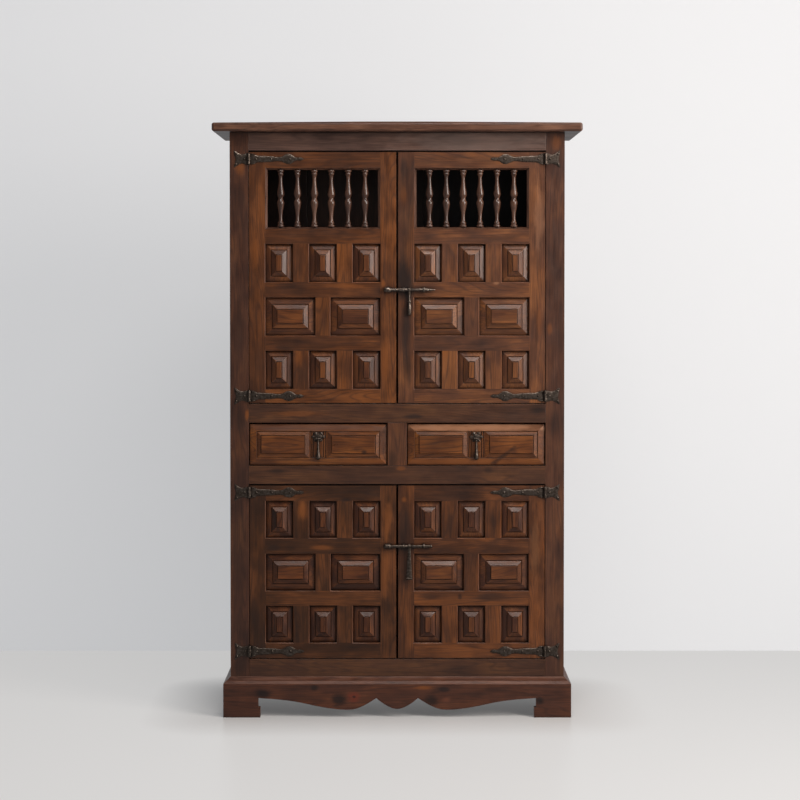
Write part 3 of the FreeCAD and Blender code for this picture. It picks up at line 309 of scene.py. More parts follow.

# Each door's stain differs a little, on its frame, then on its panels, and carries painted light
# too: the upper right door paler and greyer for a painted sheen, the lower doors darker for
# painted shade, the left one most
DOOR_STAINS_AND_LIGHT = {
    "upper_left_door_": (("#351e12", "#532d13", "#78441c"), ("#331c12", "#4f2b17", "#74421d")),
    "upper_right_door_": (("#3b251c", "#593521", "#7c4b27"), ("#3a231a", "#57331f", "#7b4a25")),
    "lower_left_door_": (("#2a170c", "#43240d", "#673917"), ("#28150c", "#422110", "#673817")),
    "lower_right_door_": (("#301b11", "#4c2912", "#713f1a"), ("#2f1a12", "#4a2817", "#70401d"))}
UPRIGHT_MARKS = {
    "upper_left_door_": [
        (-42, 1300, 7, 12, 0.7, AMBER), (-36, 1065, 14, 70, 0.45, AMBER),
        (-425, 1390, 12, 70, 0.45, AMBER), (-294, 1078, 12, 30, 0.5, AMBER),
        (-223, 1197, 22, 60, 0.35, KNOT)],
    "upper_right_door_": [
        (20, 1315, 30, 80, 0.9, KNOT), (16, 1238, 10, 14, 0.4, AMBER), (26, 1165, 18, 80, 0.7, KNOT),
        (32, 1052, 14, 50, 0.7, KNOT), (424, 1190, 12, 50, 0.35, AMBER), (50, 1208, 4, 9, 0.7, AMBER),
        (424, 1500, 16, 110, 0.3, PALE), (20, 1560, 12, 30, 0.5, AMBER), (22, 1640, 14, 30, 0.5, KNOT),
        (142, 1100, 14, 26, 0.5, AMBER), (25, 1480, 32, 260, 0.4, KNOT)],
    "lower_left_door_": [
        (-30, 590, 14, 60, 0.55, AMBER), (-40, 440, 16, 90, 0.4, AMBER), (-424, 300, 14, 60, 0.4, KNOT),
        (-285, 620, 16, 34, 0.65, AMBER)],
    "lower_right_door_": [
        (20, 560, 24, 80, 0.6, KNOT), (288, 586, 14, 38, 0.6, KNOT), (414, 500, 16, 90, 0.35, "#805432"),
        (21, 652, 9, 10, 0.6, AMBER)]}
LEVEL_MARKS = {
    "upper_left_door_": [
        (-160, 1294, 70, 8, 0.5, AMBER), (-330, 1290, 40, 9, 0.3, KNOT)],
    "upper_right_door_": [
        (296, 1302, 9, 8, 0.5, PALE), (110, 1110, 50, 9, 0.3, KNOT), (169, 1668, 170, 24, 0.25, KNOT)],
    "lower_left_door_": [
        (-152, 652, 16, 10, 0.6, KNOT), (-369, 508, 22, 10, 0.5, KNOT), (-223, 508, 34, 9, 0.5, AMBER)],
    "lower_right_door_": [
        (291, 360, 56, 13, 0.55, KNOT), (100, 360, 34, 11, 0.5, KNOT), (188, 362, 7, 12, 0.65, KNOT),
        (265, 535, 28, 8, 0.5, AMBER), (223, 361, 190, 24, 0.25, KNOT)]}
# The heights between which the wide panels lie, in metres
WIDE_PANEL_ROWS = [(1.144, 1.258), (0.378, 0.489)]

POST = ("#331e17", "#4b2c1d", "#623b22")
# Inside wood: a dark stain, darkened further as painted shade for the dim inside behind doors and grille
INSIDE = ("#1b110e", "#2c1b15", "#3a241a")
frame_level = stained_pine(
    "stained_pine_rails", "x", ("#331f16", "#492c1c", "#5e3a20"), marks=rail_marks)
top_rail_wood = stained_pine(
    "stained_pine_top_rail", "x", ("#3f2c26", "#563f36", "#6c4e41"),
    marks=[(235, 1723, 230, 60, 0.4, "#76665f")])
frame_upright = stained_pine(
    "stained_pine_posts", "z", POST, marks=post_marks, outside="#5e4232")
frame_deep = stained_pine("stained_pine_side_rails", "y", POST)
plinth_wood = stained_pine(
    "stained_pine_plinth", "x", ("#321d16", "#4e2b1c", "#643820"), marks=plinth_marks)
top_level = stained_pine("stained_pine_top", "x", ("#3a2419", "#553628", "#734f3b"))
inside_level = stained_pine("stained_pine_inside", "x", INSIDE)
inside_deep = stained_pine("stained_pine_runners", "y", INSIDE)
inside_upright = stained_pine("stained_pine_back", "z", INSIDE, outside="#7d6249")
drawer_wood = stained_pine(
    "stained_pine_drawer_fronts", "x", ("#3d2112", "#613516", "#834c1e"), gloss=0.32, streak=0.65,
    marks=drawer_marks)
spindle_wood = stained_pine(
    "turned_pine_spindles", "z", ("#2a1b15", "#40291f", "#5a3c2c"), gloss=0.3, lacquer=0.4,
    wear_and_highlight="#7a5646")
iron = forged_iron("forged_iron", ("#4f453e", "#665b53", "#82776e"), (0.52, 0.36))
paler_iron = forged_iron("paler_iron", ("#5f544d", "#7d7168", "#a89c92"), (0.48, 0.28))

dress(["top_board"], top_level, TOP_ARRIS)
dress(["bottom_rail", "drawer_bottom_rail", "drawer_top_rail"], frame_level)
dress(["top_rail"], top_rail_wood)
dress(["front_posts", "rear_stiles", "drawer_divider", "side_panels"], frame_upright)
dress(["side_rails", "plinth_sides"], frame_deep)
dress(["plinth_front"], plinth_wood, PLINTH_ARRIS)
dress(["back_boards"], inside_upright)
dress(["upper_deck", "lower_deck", "floor_board", "shelves", "door_stops"], inside_level)
dress(["shelf_cleats", "drawer_guides", "left_drawer_box", "right_drawer_box"], inside_deep)
for door in DOORS:
    frame_codes, panel_codes = DOOR_STAINS_AND_LIGHT[door]
    dress([door + "stiles", door + "muntins"], stained_pine(
        "stained_pine_" + door + "uprights", "z", frame_codes, marks=UPRIGHT_MARKS[door]))
    dress([door + "rails"], stained_pine(
        "stained_pine_" + door + "rails", "x", frame_codes, marks=LEVEL_MARKS[door]))
    dress([door + "panels"], stained_pine(
        "stained_pine_" + door + "panels", "z", panel_codes, gloss=0.33,
        wide_rows=WIDE_PANEL_ROWS), PANEL_ARRIS)
for door in UPPER_DOORS:
    dress([door + "grille"], spindle_wood, 0)
dress([side + "_drawer_front" for side in LEFT_RIGHT], drawer_wood, DRAWER_ARRIS)
dress(["hinge_pins"], iron, 0)


# Forged fittings, drawn in millimetres

DOOR_Y = -180.0
PIN_X = 443.0
PIN_Y = -185.3
SMOOTH_STEPS = 6


def smooth(stations, steps=SMOOTH_STEPS):
    """Rows of numbers, with even steps put in between on a curve through them all."""
    rows = []
    count = len(stations)
    for i in range(count - 1):
        p = [stations[max(0, min(count - 1, i + k))] for k in (-1, 0, 1, 2)]
        for step in range(steps):
            t = step / steps
            rows.append(tuple(
                0.5 * (2 * b + (c - a) * t + (2 * a - 5 * b + 4 * c - d) * t * t
                       + (3 * b - a - 3 * c + d) * t ** 3)
                for a, b, c, d in zip(*p)))
    rows.append(tuple(stations[-1]))
    return rows


def skin(shape, rings, closed=False, ladder=False):
    """Joins rings of points into one skin, capped at its ends unless the rings close up.

    A ladder cap joins each point of a ring's front half to its twin in the back half.
    """
    rows = [[shape.verts.new(point) for point in ring] for ring in rings]
    pairs = list(zip(rows, rows[1:])) + ([(rows[-1], rows[0])] if closed else [])
    for low, high in pairs:
        for i in range(len(low)):
            j = (i + 1) % len(low)
            shape.faces.new((low[i], low[j], high[j], high[i]))
    for row in (rows[0], rows[-1]) if ladder else ():
        for i in range(len(row) // 2 - 1):
            shape.faces.new((row[i], row[i + 1], row[-2 - i], row[-1 - i]))
    if not closed and not ladder:
        shape.faces.new(list(reversed(rows[0])))
        shape.faces.new(rows[-1])


def turned(shape, foot, along, edges, sides=20, closed=False):
    """A turned or forged bar: edges are (distance along it, radius)."""
    axis = Vector(along).normalized()
    first = axis.orthogonal().normalized() if abs(axis.y) > 0.5 else Vector((0, -1, 0))
    second = axis.cross(first)
    rings = []
    for distance, radius in edges:
        ring = []
        for i in range(sides):
            turn = 2 * math.pi * (i + 0.5) / sides
            outward = first * math.cos(turn) + second * math.sin(turn)
            ring.append(Vector(foot) + axis * distance + outward * radius)
        rings.append(ring)
    skin(shape, rings, closed)


def rimmed(length, radius, rim):
    """Edges of a bar with both ends rounded alike: rim is (distance in, radius lost)."""
    return ([(inward, radius - less) for inward, less in rim]
            + [(length - inward, radius - less) for inward, less in reversed(rim)])


def nail_head(shape, x, y, z, radius, height):
    """A rose head: a low dome struck with a few hammer flats."""
    turned(shape, (x, y, z), (0, -1, 0), [
        (0, radius), (0.35 * height, radius * 0.94), (0.75 * height, radius * 0.6),
        (height, radius * 0.22)], sides=7)


BLOW_DEPTH = 0.3
BLOW_SIZE = 7.0
FRONT_RISE = 0.9


def hammered(shape):
    """Moves the points of the front a little, as hammer blows leave a forged face."""
    for vert in shape.verts:
        blow = noise.noise(vert.co / BLOW_SIZE) + 0.5 * noise.noise(vert.co / (0.45 * BLOW_SIZE))
        vert.co.y += BLOW_DEPTH * blow * (1 if vert.co.y < DOOR_Y - FRONT_RISE else 0)


# A crease sharper than this stays crisp, in degrees
CREASE = 42


def new_piece(name, body, stands_for, shape, finish=iron):
    """Makes a piece of a shape drawn in millimetres, riding its body."""
    bmesh.ops.scale(shape, vec=(MM, MM, MM), verts=shape.verts)
    bmesh.ops.recalc_face_normals(shape, faces=shape.faces)
    mesh = bpy.data.meshes.new(name)
    shape.to_mesh(mesh)
    shape.free()
    mesh.shade_smooth()
    mesh.set_sharp_from_angle(angle=math.radians(CREASE))
    mesh.materials.append(finish)
    made = bpy.data.objects.new(name, mesh)
    bpy.context.scene.collection.objects.link(made)
    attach(made, body)
    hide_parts(*stands_for)
    return made


# Strap hinges
HINGE_LEVELS = {"upper": (963.0, 1671.0), "lower": (196.0, 674.0)}
STRAP_ROOT = 437.2
STRAP_TIP = 279.0
PLATE_ROOT = 448.8
PLATE_END = 486.8
KNUCKLE = 5.0
KNUCKLE_RIM = [(0, 0.7), (0.5, 0.1), (1.2, 0)]
KNUCKLE_SPANS = [(-16.0, -5.33), (-5.03, 5.03), (5.33, 16.0)]
# How far a leaf stands off the door at its pin, half way to its plate, and at its plate
TIE_LIFTS = (3.2, 2.8, 2.2)
TIE_LAP = 1
# Share of the length, half height and crown in mm
STRAP = [
    (0.0, 15.6, 1.6), (0.04, 15.8, 2.2), (0.08, 13.2, 2.4), (0.11, 10.8, 2.4), (0.16, 9.4, 2.5),
    (0.28, 9.0, 2.5), (0.40, 8.0, 2.4), (0.49, 6.2, 2.4), (0.57, 6.6, 2.4), (0.64, 11.2, 2.5),
    (0.70, 14.6, 2.5), (0.76, 13.8, 2.5), (0.81, 8.6, 2.4), (0.86, 4.8, 2.3), (0.90, 4.6, 2.3),
    (0.94, 4.8, 2.2), (0.98, 2.2, 2.0), (1.0, 0.5, 1.4)]
STRAP_NAILS = (0.1, 0.39, 0.74)
STRAP_FACE = 2.4
# The root's top and bottom edges are rolled over: height, lift off the door, lean and shape
ROLL_LEVEL = 14.2
ROLL_LIFT = 1.9
ROLL_LEAN = 0.12
ROLL = [(0, 1.0), (1, 1.7), (9, 1.5), (15, 0.5)]
POST_PLATE = [
    (0.0, 15.8, 2.2), (0.12, 15.6, 2.4), (0.3, 13.4, 2.4), (0.5, 14.2, 2.4), (0.75, 19.4, 2.4),
    (0.92, 24.0, 2.3), (1.0, 24.8, 2.1)]
POST_NAILS = [(0.2, 0.0), (0.84, 15.2), (0.84, -15.2)]
POST_FACE = 2.3
NAIL = (3.6, 2.2)
# How deep the fishtail is cut, and the share of the plate's length where it starts
FISHTAIL = 6.0
FISHTAIL_START = 0.4


def flat_ring(x, z, half, crown, notch=0.0):
    """Section of a forged plate on the door: flat back, chamfered rim, crowned front."""
    front = ((-1, 0.45), (-0.86, 0.85), (-0.45, 1.0), (0, 1.0), (0.45, 1.0), (0.86, 0.85), (1, 0.45))
    back = [(across, 0) for across, rise in reversed(front)]
    return [(x + notch * (1 - abs(across)), DOOR_Y - rise * crown, z + across * half)
            for across, rise in list(front) + back]


def knuckles(shape, side, level, spans):
    for low, high in spans:
        turned(shape, (side * PIN_X, PIN_Y, level + low), (0, 0, 1),
               rimmed(high - low, KNUCKLE, KNUCKLE_RIM))


def tie(shape, side, level, spans, outer_x):
    """The stretch where a leaf curls round its pin."""
    for low, high in spans:
        middle, half = level + (low + high) / 2, (high - low) / 2
        skin(shape, [
            [(side * x, y, middle + across * half)
             for across, y in ((-1, DOOR_Y), (-1, DOOR_Y - lift), (1, DOOR_Y - lift), (1, DOOR_Y))]
            for x, lift in zip((PIN_X, (PIN_X + outer_x) / 2, outer_x), TIE_LIFTS)])


def hinge_straps(stage, side_name, side):
    door = stage + "_" + side_name + "_door"
    shape = bmesh.new()
    run = STRAP_ROOT - STRAP_TIP
    for level in HINGE_LEVELS[stage]:
        rings = [
            flat_ring(side * (STRAP_ROOT - share * run), level, half, crown)
            for share, half, crown in smooth(STRAP)]
        skin(shape, rings, ladder=True)
    hammered(shape)
    for level in HINGE_LEVELS[stage]:
        for up in (-1, 1):
            turned(shape, (side * STRAP_ROOT, DOOR_Y - ROLL_LIFT, level + up * ROLL_LEVEL),
                   (-side, 0, -up * ROLL_LEAN), ROLL, sides=10)
        knuckles(shape, side, level, KNUCKLE_SPANS[1:2])
        tie(shape, side, level, KNUCKLE_SPANS[1:2], STRAP_ROOT - TIE_LAP)
        for share in STRAP_NAILS:
            nail_head(shape, side * (STRAP_ROOT - share * run), DOOR_Y - STRAP_FACE, level, *NAIL)
    new_piece(door + "_forged_straps", door, [door + "_hinge_straps"], shape)


def post_plates():
    shape = bmesh.new()
    levels = [level for stage in HINGE_LEVELS.values() for level in stage]
    run = PLATE_END - PLATE_ROOT
    for side in (-1, 1):
        for level in levels:
            skin(shape, [
                flat_ring(side * (PLATE_ROOT + share * run), level, half, crown,
                          -side * FISHTAIL * max(0.0, share - FISHTAIL_START) / (1 - FISHTAIL_START))
                for share, half, crown in smooth(POST_PLATE)], ladder=True)
    hammered(shape)
    for side in (-1, 1):
        for level in levels:
            knuckles(shape, side, level, KNUCKLE_SPANS[::2])
            tie(shape, side, level, KNUCKLE_SPANS[::2], PLATE_ROOT + TIE_LAP)
            for share, up in POST_NAILS:
                nail_head(
                    shape, side * (PLATE_ROOT + share * run), DOOR_Y - POST_FACE, level + up, *NAIL)
    new_piece("forged_post_plates", "root", ["hinge_plates"], shape)


# Sliding bolts: tables of distance along the bar and radius
BOLT_Y = -189.0
BOLT_LEVELS = {"upper": 1280.833, "lower": 512.833}
ROD = 5.0
NECK = 3.8
BAR = [
    (-33, 3.4), (-32.4, 4.4), (-31, 4.9), (-28, ROD), (-10, 4.85), (14, ROD), (29.6, ROD),
    (30.8, 4.5), (31, NECK), (41, NECK), (41.2, 4.5), (42.4, ROD), (60, 4.9), (76, ROD)]
BOLT_ENDS = {
    "upper": [(90, 5.0), (92, 4.9), (93, 4.0), (94.5, 4.0), (95.5, 4.9), (98, 4.6), (105, 3.0),
              (111, 2.0), (113.4, 1.4), (114, 0.3)],
    "lower": [(99, 5.0), (101.5, 4.9), (103.6, 4.2), (104.7, 3.0), (105, 1.0)]}
# In the photograph the upper bolt is the brighter one
BOLT_FINISH = {"upper": paler_iron, "lower": iron}

# Guides and keepers: the radius of their bore, the least iron round it, places and widths
GUIDE = 5.08
LEAST_IRON = 0.3
GUIDE_X = (19.5, 79.5)
GUIDE_WIDTH = 7.0
KEEPER_X = -29.0
KEEPER_WIDTH = 20.0
# 2 bends a band round, and more makes its corners squarer
OUTER_GUIDE_CORNERS = {"upper": 3.2, "lower": 2.0}
# Share of the width and thickness across a band
COLLAR = [(-0.5, 1.2), (-0.44, 2.2), (-0.25, 2.6), (0.25, 2.6), (0.44, 2.2), (0.5, 1.2)]
RIBBED = [(-0.5, 1.2), (-0.44, 2.3), (-0.2, 2.5), (0, 1.7), (0.2, 2.5), (0.44, 2.3), (0.5, 1.2)]
BULB = [(-0.5, 1.0), (-0.42, 2.4), (-0.25, 3.4), (0, 3.7), (0.25, 3.4), (0.42, 2.4), (0.5, 1.0)]
TWO_LUMPS = [(-0.5, 1.0), (-0.42, 2.6), (-0.25, 3.4), (-0.06, 2.2), (0.06, 2.2), (0.25, 3.4),
             (0.42, 2.6), (0.5, 1.0)]
KEEPER_SHAPE = {"upper": BULB, "lower": TWO_LUMPS}

# The drops hang on the bar's neck by an eye
EYE_X = 36.0
EYE_WIDTH = 8.0
EYE_HOLE = 3.86
EYE_RADIUS = 7.2
EYE_RIM = [(0, 0.9), (0.35, 0.25), (1.1, 0)]
DROP = [
    (5.2, 4.4), (7, 4.6), (12, 3.6), (22, 3.5), (31, 4.0), (33.6, 4.4), (34.6, 5.8), (38.6, 5.9),
    (39.8, 4.5), (42, 4.8), (48, 5.9), (56, 6.8), (66, 7.0), (72, 6.0), (75.5, 4.2), (77.4, 2.0),
    (78, 0.4)]
# The lever's way down, half width, thickness and bow, and its section in shares of them
LEVER = [
    (5.4, 3.9, 3.2, 0), (14, 4.3, 3.4, 0.2), (40, 5.6, 3.0, 0.5), (70, 7.2, 2.8, 0.6),
    (90, 8.6, 2.6, 0.3), (97, 9.0, 2.2, -0.6)]
LEVER_SECTION = [
    (-1, -0.3), (-0.7, -0.9), (0, -1.1), (0.7, -0.9), (1, -0.3), (1, 0.4), (0.7, 0.9), (0, 1.0),
    (-0.7, 0.9), (-1, 0.4)]
LEVER_LIFT = 2
CURL = [(0, 2.2), (0.6, 2.9), (3, 3.1), (9, 3.0), (15, 3.1), (17.4, 2.9), (18, 2.2)]
CURL_LIFT = 3.4
CURL_DOWN = 96.9


def bolt(stage):
    shape = bmesh.new()
    z = BOLT_LEVELS[stage]
    turned(shape, (0, BOLT_Y, z), (1, 0, 0), BAR + BOLT_ENDS[stage], sides=24)
    new_piece(stage + "_forged_bolt", stage + "_bolt_slider", [stage + "_bolt"], shape,
              BOLT_FINISH[stage])


def band(shape, x, z, width, profile, corners=2.0):
    """An iron loop over the bolt: profile is (share of the width, thickness) across it."""
    path = [(DOOR_Y, 0, 1), ((DOOR_Y + BOLT_Y) / 2, 0, 1)]
    path += [(BOLT_Y, -math.sin(math.radians(a)), math.cos(math.radians(a)))
             for a in range(0, 181, 15)]
    path += [((DOOR_Y + BOLT_Y) / 2, 0, -1), (DOOR_Y, 0, -1)]
    rings = []
    for middle_y, out_y, out_z in path:
        swell = (abs(out_y) ** corners + abs(out_z) ** corners) ** (-1 / corners)
        ring = [(x + side * width / 2, middle_y + out_y * GUIDE, z + out_z * GUIDE)
                for side in (1, -1)]
        for share, thick in profile:
            reach = max(GUIDE + LEAST_IRON, (GUIDE + thick) * swell)
            ring.append((x + share * width, middle_y + out_y * reach, z + out_z * reach))
        rings.append(ring)
    skin(shape, rings)


def guides(stage):
    z = BOLT_LEVELS[stage]
    shape = bmesh.new()
    band(shape, GUIDE_X[0], z, GUIDE_WIDTH, RIBBED)
    band(shape, GUIDE_X[1], z, GUIDE_WIDTH, COLLAR, corners=OUTER_GUIDE_CORNERS[stage])
    new_piece(stage + "_forged_guides", stage + "_right_door", [stage + "_bolt_staples"], shape,
              BOLT_FINISH[stage])
    shape = bmesh.new()
    band(shape, KEEPER_X, z, KEEPER_WIDTH, KEEPER_SHAPE[stage])
    new_piece(stage + "_forged_keeper", stage + "_left_door", [stage + "_bolt_keeper"], shape,
              BOLT_FINISH[stage])


def eye(shape, foot, width, hole, radius):
    """A ring round a pin along X, its rim rounded."""
    turned(shape, foot, (1, 0, 0), [(0, hole)] + rimmed(width, radius, EYE_RIM) + [(width, hole)],
           sides=24, closed=True)


def upper_drop():
    shape = bmesh.new()
    z = BOLT_LEVELS["upper"]
    eye(shape, (EYE_X - EYE_WIDTH / 2, BOLT_Y, z), EYE_WIDTH, EYE_HOLE, EYE_RADIUS)
    turned(shape, (EYE_X, BOLT_Y, z), (0, 0, -1), smooth(DROP, 2))
    new_piece("upper_turned_drop", "upper_bolt_handle", ["upper_bolt_drop"], shape)


def lower_drop():
    """Flat lever, drawn out wider to a curl that the fingers catch."""
    shape = bmesh.new()
    z = BOLT_LEVELS["lower"]
    eye(shape, (EYE_X - EYE_WIDTH / 2, BOLT_Y, z), EYE_WIDTH, EYE_HOLE, EYE_RADIUS)
    rings = []
    for down, half, thick, bow in smooth(LEVER):
        y = BOLT_Y - LEVER_LIFT + bow
        rings.append([
            (EYE_X + across * half, y + rise * thick / 2, z - down)
            for across, rise in LEVER_SECTION])
    skin(shape, rings)
    curl_half = CURL[-1][0] / 2
    turned(shape, (EYE_X - curl_half, BOLT_Y - CURL_LIFT, z - CURL_DOWN), (1, 0, 0), CURL, sides=16)
    new_piece("lower_flat_drop", "lower_bolt_handle", ["lower_bolt_drop"], shape)


# Drawer pulls
PULL_X = 236.5
PULL_Z = 840.5
PULL_PLANE = -177.0
PULL_PIN_Y = -186.4
PULL_PIN_Z = 835.5
# The rosette's half width and half height, then how far out each row lies and how high it rises
ROSETTE_HALF = (20.6, 16.4)
ROW_SHARES = (0.0, 0.22, 0.42, 0.58, 0.74, 0.9, 1.0)
ROW_RISES = (3.0, 2.6, 1.6, 1.5, 1.9, 1.7, 0.9)
LOBES = 6
LOBE_DEPTH_SHARE = 0.11
SECTORS = 48
# Which rows a slot cuts through and how many sectors it takes to each side of its middle. Under
# the drop the plate is whole
SLOT_ROWS = (2, 3)
SLOT_HALF = 1.6
WHOLE_SECTORS = range(35, 38)
PLATE = 1.1
PLATE_NAIL_RING = (15.6, 12.4)
PLATE_NAIL_RISE = 1.6
PLATE_NAIL = (2.0, 1.5)
# Two ears hold the pin
EAR_X = 5.25
EAR_THICK = 2.5
EAR_FOOT = 1.5
EAR_HALF = 3.2
EAR_RADIUS = 3.3
PULL_PIN = 13.8
PULL_PIN_RADIUS = 1.5
PULL_PIN_RIM = [(0, 0.3), (0.3, 0)]
PULL_EYE_WIDTH = 7.0
PULL_EYE_HOLE = 1.56
PULL_EYE_RADIUS = 3.8
PULL_DROP = [
    (3.0, 3.4), (6, 3.6), (9, 3.3), (19, 3.4), (30, 3.9), (40, 4.9), (48, 6.1), (54, 6.8),
    (58, 6.6), (61, 5.2), (63.4, 2.6), (64, 0.5)]


def rosette(shape, x):
    """Pierced lobed plate: a boss in the middle, six lobes and a slot between each two."""
    rows = []
    for share, rise in zip(ROW_SHARES[1:], ROW_RISES[1:]):
        row = []
        for i in range(SECTORS):
            turn = 2 * math.pi * i / SECTORS
            lobe = 1 - LOBE_DEPTH_SHARE * share ** 2 * (1 - math.cos(LOBES * turn))
            row.append(shape.verts.new((
                x + ROSETTE_HALF[0] * share * lobe * math.cos(turn), PULL_PLANE - rise,
                PULL_Z + ROSETTE_HALF[1] * share * lobe * math.sin(turn))))
        rows.append(row)
    middle = shape.verts.new((x, PULL_PLANE - ROW_RISES[0], PULL_Z))
    for i in range(SECTORS):
        shape.faces.new((middle, rows[0][i], rows[0][(i + 1) % SECTORS]))
    per_lobe = SECTORS // LOBES
    for depth, (low, high) in enumerate(zip(rows, rows[1:])):
        for i in range(SECTORS):
            between = abs(i % per_lobe - (per_lobe - 1) / 2) < SLOT_HALF
            if depth in SLOT_ROWS and between and i not in WHOLE_SECTORS:
                continue
            j = (i + 1) % SECTORS
            shape.faces.new((low[i], high[i], high[j], low[j]))


def pull_plates(side_name, side):
    shape = bmesh.new()
    x = side * PULL_X
    rosette(shape, x)
    plate = new_piece(side_name + "_pull_rosette", side_name + "_drawer",
                      [side_name + "_drawer_pull_plate"], shape)
    thick = plate.modifiers.new("plate", "SOLIDIFY")
    thick.thickness = PLATE * MM
    thick.offset = -1.0
    shape = bmesh.new()
    for lobe in range(LOBES):
        lean = 2 * math.pi * lobe / LOBES
        nail_head(shape, x + PLATE_NAIL_RING[0] * math.cos(lean), PULL_PLANE - PLATE_NAIL_RISE,
                  PULL_Z + PLATE_NAIL_RING[1] * math.sin(lean), *PLATE_NAIL)
    for tab in (-1, 1):
        foot = x + tab * EAR_X - EAR_THICK / 2
        rings = []
        for at in (foot, foot + EAR_THICK):
            ring = [(at, PULL_PLANE - EAR_FOOT, PULL_PIN_Z + up * EAR_HALF) for up in (1, -1)]
            ring += [(at, PULL_PIN_Y - EAR_RADIUS * math.cos(math.radians(a)),
                      PULL_PIN_Z - EAR_RADIUS * math.sin(math.radians(a)))
                     for a in range(80, -81, -20)]
            rings.append(ring)
        skin(shape, rings)
    turned(shape, (x - PULL_PIN / 2, PULL_PIN_Y, PULL_PIN_Z), (1, 0, 0),
           rimmed(PULL_PIN, PULL_PIN_RADIUS, PULL_PIN_RIM), sides=12)
    new_piece(side_name + "_pull_pin_and_nails", side_name + "_drawer",
              [side_name + "_drawer_pull_plate"], shape)


def pull_drop(side_name, side):
    shape = bmesh.new()
    x = side * PULL_X
    eye(shape, (x - PULL_EYE_WIDTH / 2, PULL_PIN_Y, PULL_PIN_Z),
        PULL_EYE_WIDTH, PULL_EYE_HOLE, PULL_EYE_RADIUS)
    turned(shape, (x, PULL_PIN_Y, PULL_PIN_Z), (0, 0, -1), smooth(PULL_DROP, 3))
    new_piece(side_name + "_pull_turned_drop", side_name + "_drawer_pull",
              [side_name + "_drawer_pull_drop"], shape)


for side_name, side in zip(LEFT_RIGHT, (-1, 1)):
    for stage in HINGE_LEVELS:
        hinge_straps(stage, side_name, side)
    pull_plates(side_name, side)
    pull_drop(side_name, side)
post_plates()
for stage in BOLT_LEVELS:
    bolt(stage)
    guides(stage)
upper_drop()
lower_drop()

# Room: pale floor and a pale wall 0.72 m behind the cupboard, in metres

# Where the floor's even light starts and is whole, from the cupboard's foot outwards
FADE_START = -0.05
FADE_END = 0.25


def flat_sheet(name, corners):
    mesh = bpy.data.meshes.new(name)
    mesh.from_pydata(corners, [], [tuple(range(len(corners)))])
    made = bpy.data.objects.new(name, mesh)
    bpy.context.scene.collection.objects.link(made)
    return made


def plaster(name, code, rough, even, see_through_behind, mirrored, footprint=None):
    """Pale painted surface, of which the camera sees a share evenly lit.

    Gloss sees it at the brightness mirrored, as a room is dimmer behind the camera. With a
    footprint, the even share fades in from the cupboard's foot outwards.
    """
    made, tree = new_material(name)
    shader = add(tree, "BsdfPrincipled", {
        "Base Color": linear(code), "Roughness": rough, "IOR": 1.45}).outputs[0]
    rays = add(tree, "LightPath").outputs
    share = add(tree, "Math", {0: rays["Is Camera Ray"], 1: even}, operation="MULTIPLY").outputs[0]
    if footprint:
        away = add(tree, "TexCoord").outputs["Object"]
        away = add(tree, "VectorMath", {0: away}, operation="ABSOLUTE").outputs[0]
        away = add(tree, "VectorMath", {0: away, 1: footprint}, operation="SUBTRACT").outputs[0]
        away = add(tree, "VectorMath", {0: away, 1: (0, 0, 0)}, operation="MAXIMUM").outputs[0]
        away = add(tree, "VectorMath", {0: away}, operation="LENGTH").outputs[1]
        fade = add(tree, "MapRange", {0: away, 1: FADE_START, 2: FADE_END}).outputs[0]
        share = add(tree, "Math", {0: share, 1: fade}, operation="MULTIPLY").outputs[0]
    flat = add(tree, "Emission", {0: linear(code), 1: 1.0}).outputs[0]
    shader = add(tree, "MixShader", {0: share, 1: shader, 2: flat}).outputs[0]
    flat = add(tree, "Emission", {0: linear(code), 1: mirrored}).outputs[0]
    shader = add(tree, "MixShader", {0: rays["Is Glossy Ray"], 1: shader, 2: flat}).outputs[0]
    if see_through_behind:
        behind = add(tree, "NewGeometry").outputs["Backfacing"]
        clear = add(tree, "BsdfTransparent").outputs[0]
        shader = add(tree, "MixShader", {0: behind, 1: shader, 2: clear}).outputs[0]
    add(tree, "OutputMaterial", {0: shader})
    return made


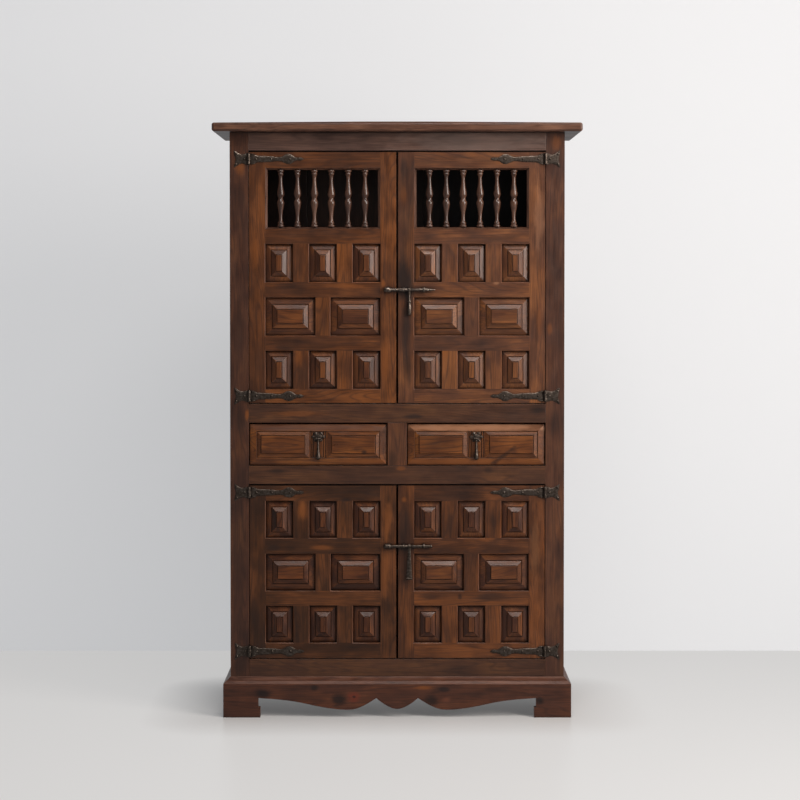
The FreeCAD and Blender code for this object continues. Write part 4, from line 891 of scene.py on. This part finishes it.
WALL_Y = 0.94
WALL_HEIGHT = 8
FAR = 20
floor = flat_sheet("floor", [(-FAR, -FAR, 0), (FAR, -FAR, 0), (FAR, FAR, 0), (-FAR, FAR, 0)])
floor.data.materials.append(plaster(
    "pale_floor", "#e5e4e3", 0.3, 0.6, False, 0.3, footprint=(0.52, 0.225, 0)))
wall = flat_sheet("wall", [
    (-FAR, WALL_Y, 0), (FAR, WALL_Y, 0), (FAR, WALL_Y, WALL_HEIGHT), (-FAR, WALL_Y, WALL_HEIGHT)])
wall.data.materials.append(plaster("pale_wall", "#ecedef", 0.9, 0.55, True, 0.5))
wall.visible_shadow = False
wall.visible_diffuse = False

world = bpy.data.worlds.new("room")
world.use_nodes = True
world.node_tree.nodes.clear()
shader = add(world.node_tree, "Background", {0: linear("#e6e9ee"), 1: 0.24}).outputs[0]
rays = add(world.node_tree, "LightPath").outputs
for ray, code, strength in (("Is Glossy Ray", "#e6e9ee", 0.12), ("Is Camera Ray", "#dfe0e2", 1.0)):
    seen = add(world.node_tree, "Background", {0: linear(code), 1: strength}).outputs[0]
    shader = add(world.node_tree, "MixShader", {0: rays[ray], 1: shader, 2: seen}).outputs[0]
add(world.node_tree, "OutputWorld", {0: shader})
bpy.context.scene.world = world


def lamp(name, place, aim, width, height, power, code):
    light = bpy.data.lights.new(name, "AREA")
    light.shape = "RECTANGLE"
    light.size = width
    light.size_y = height
    light.energy = power
    light.color = linear(code)[:3]
    made = bpy.data.objects.new(name, light)
    made.location = place
    made.rotation_euler = (Vector(aim) - Vector(place)).to_track_quat("-Z", "Y").to_euler()
    bpy.context.scene.collection.objects.link(made)


lamp("window", (2.65, -2.25, 2.2), (0, -0.1, 0.95), 1.7, 2.4, 116, "#fff7f0")
lamp("skylight", (0.3, -2.1, 3.9), (0, -0.1, 0.95), 1.4, 0.9, 42, "#fff9f4")

# Camera, in metres and degrees: level with a person's chest, 6.4 m off, as in the photograph
CAMERA_X = 0.0084
CAMERA_Z = 1.3195
CAMERA_OFF = 6.358
TILT_DOWN = 1.592
camera = bpy.data.cameras.new("camera")
camera.sensor_width = 36.0
camera.lens = 95.72
camera.shift_y = -0.08
camera.clip_end = 100.0
eye_point = bpy.data.objects.new("camera", camera)
eye_point.location = (CAMERA_X, DOOR_Y * MM - CAMERA_OFF, CAMERA_Z)
eye_point.rotation_euler = (math.radians(90 - TILT_DOWN), 0, 0)
bpy.context.scene.collection.objects.link(eye_point)
bpy.context.scene.camera = eye_point
bpy.context.scene.view_settings.view_transform = "Standard"
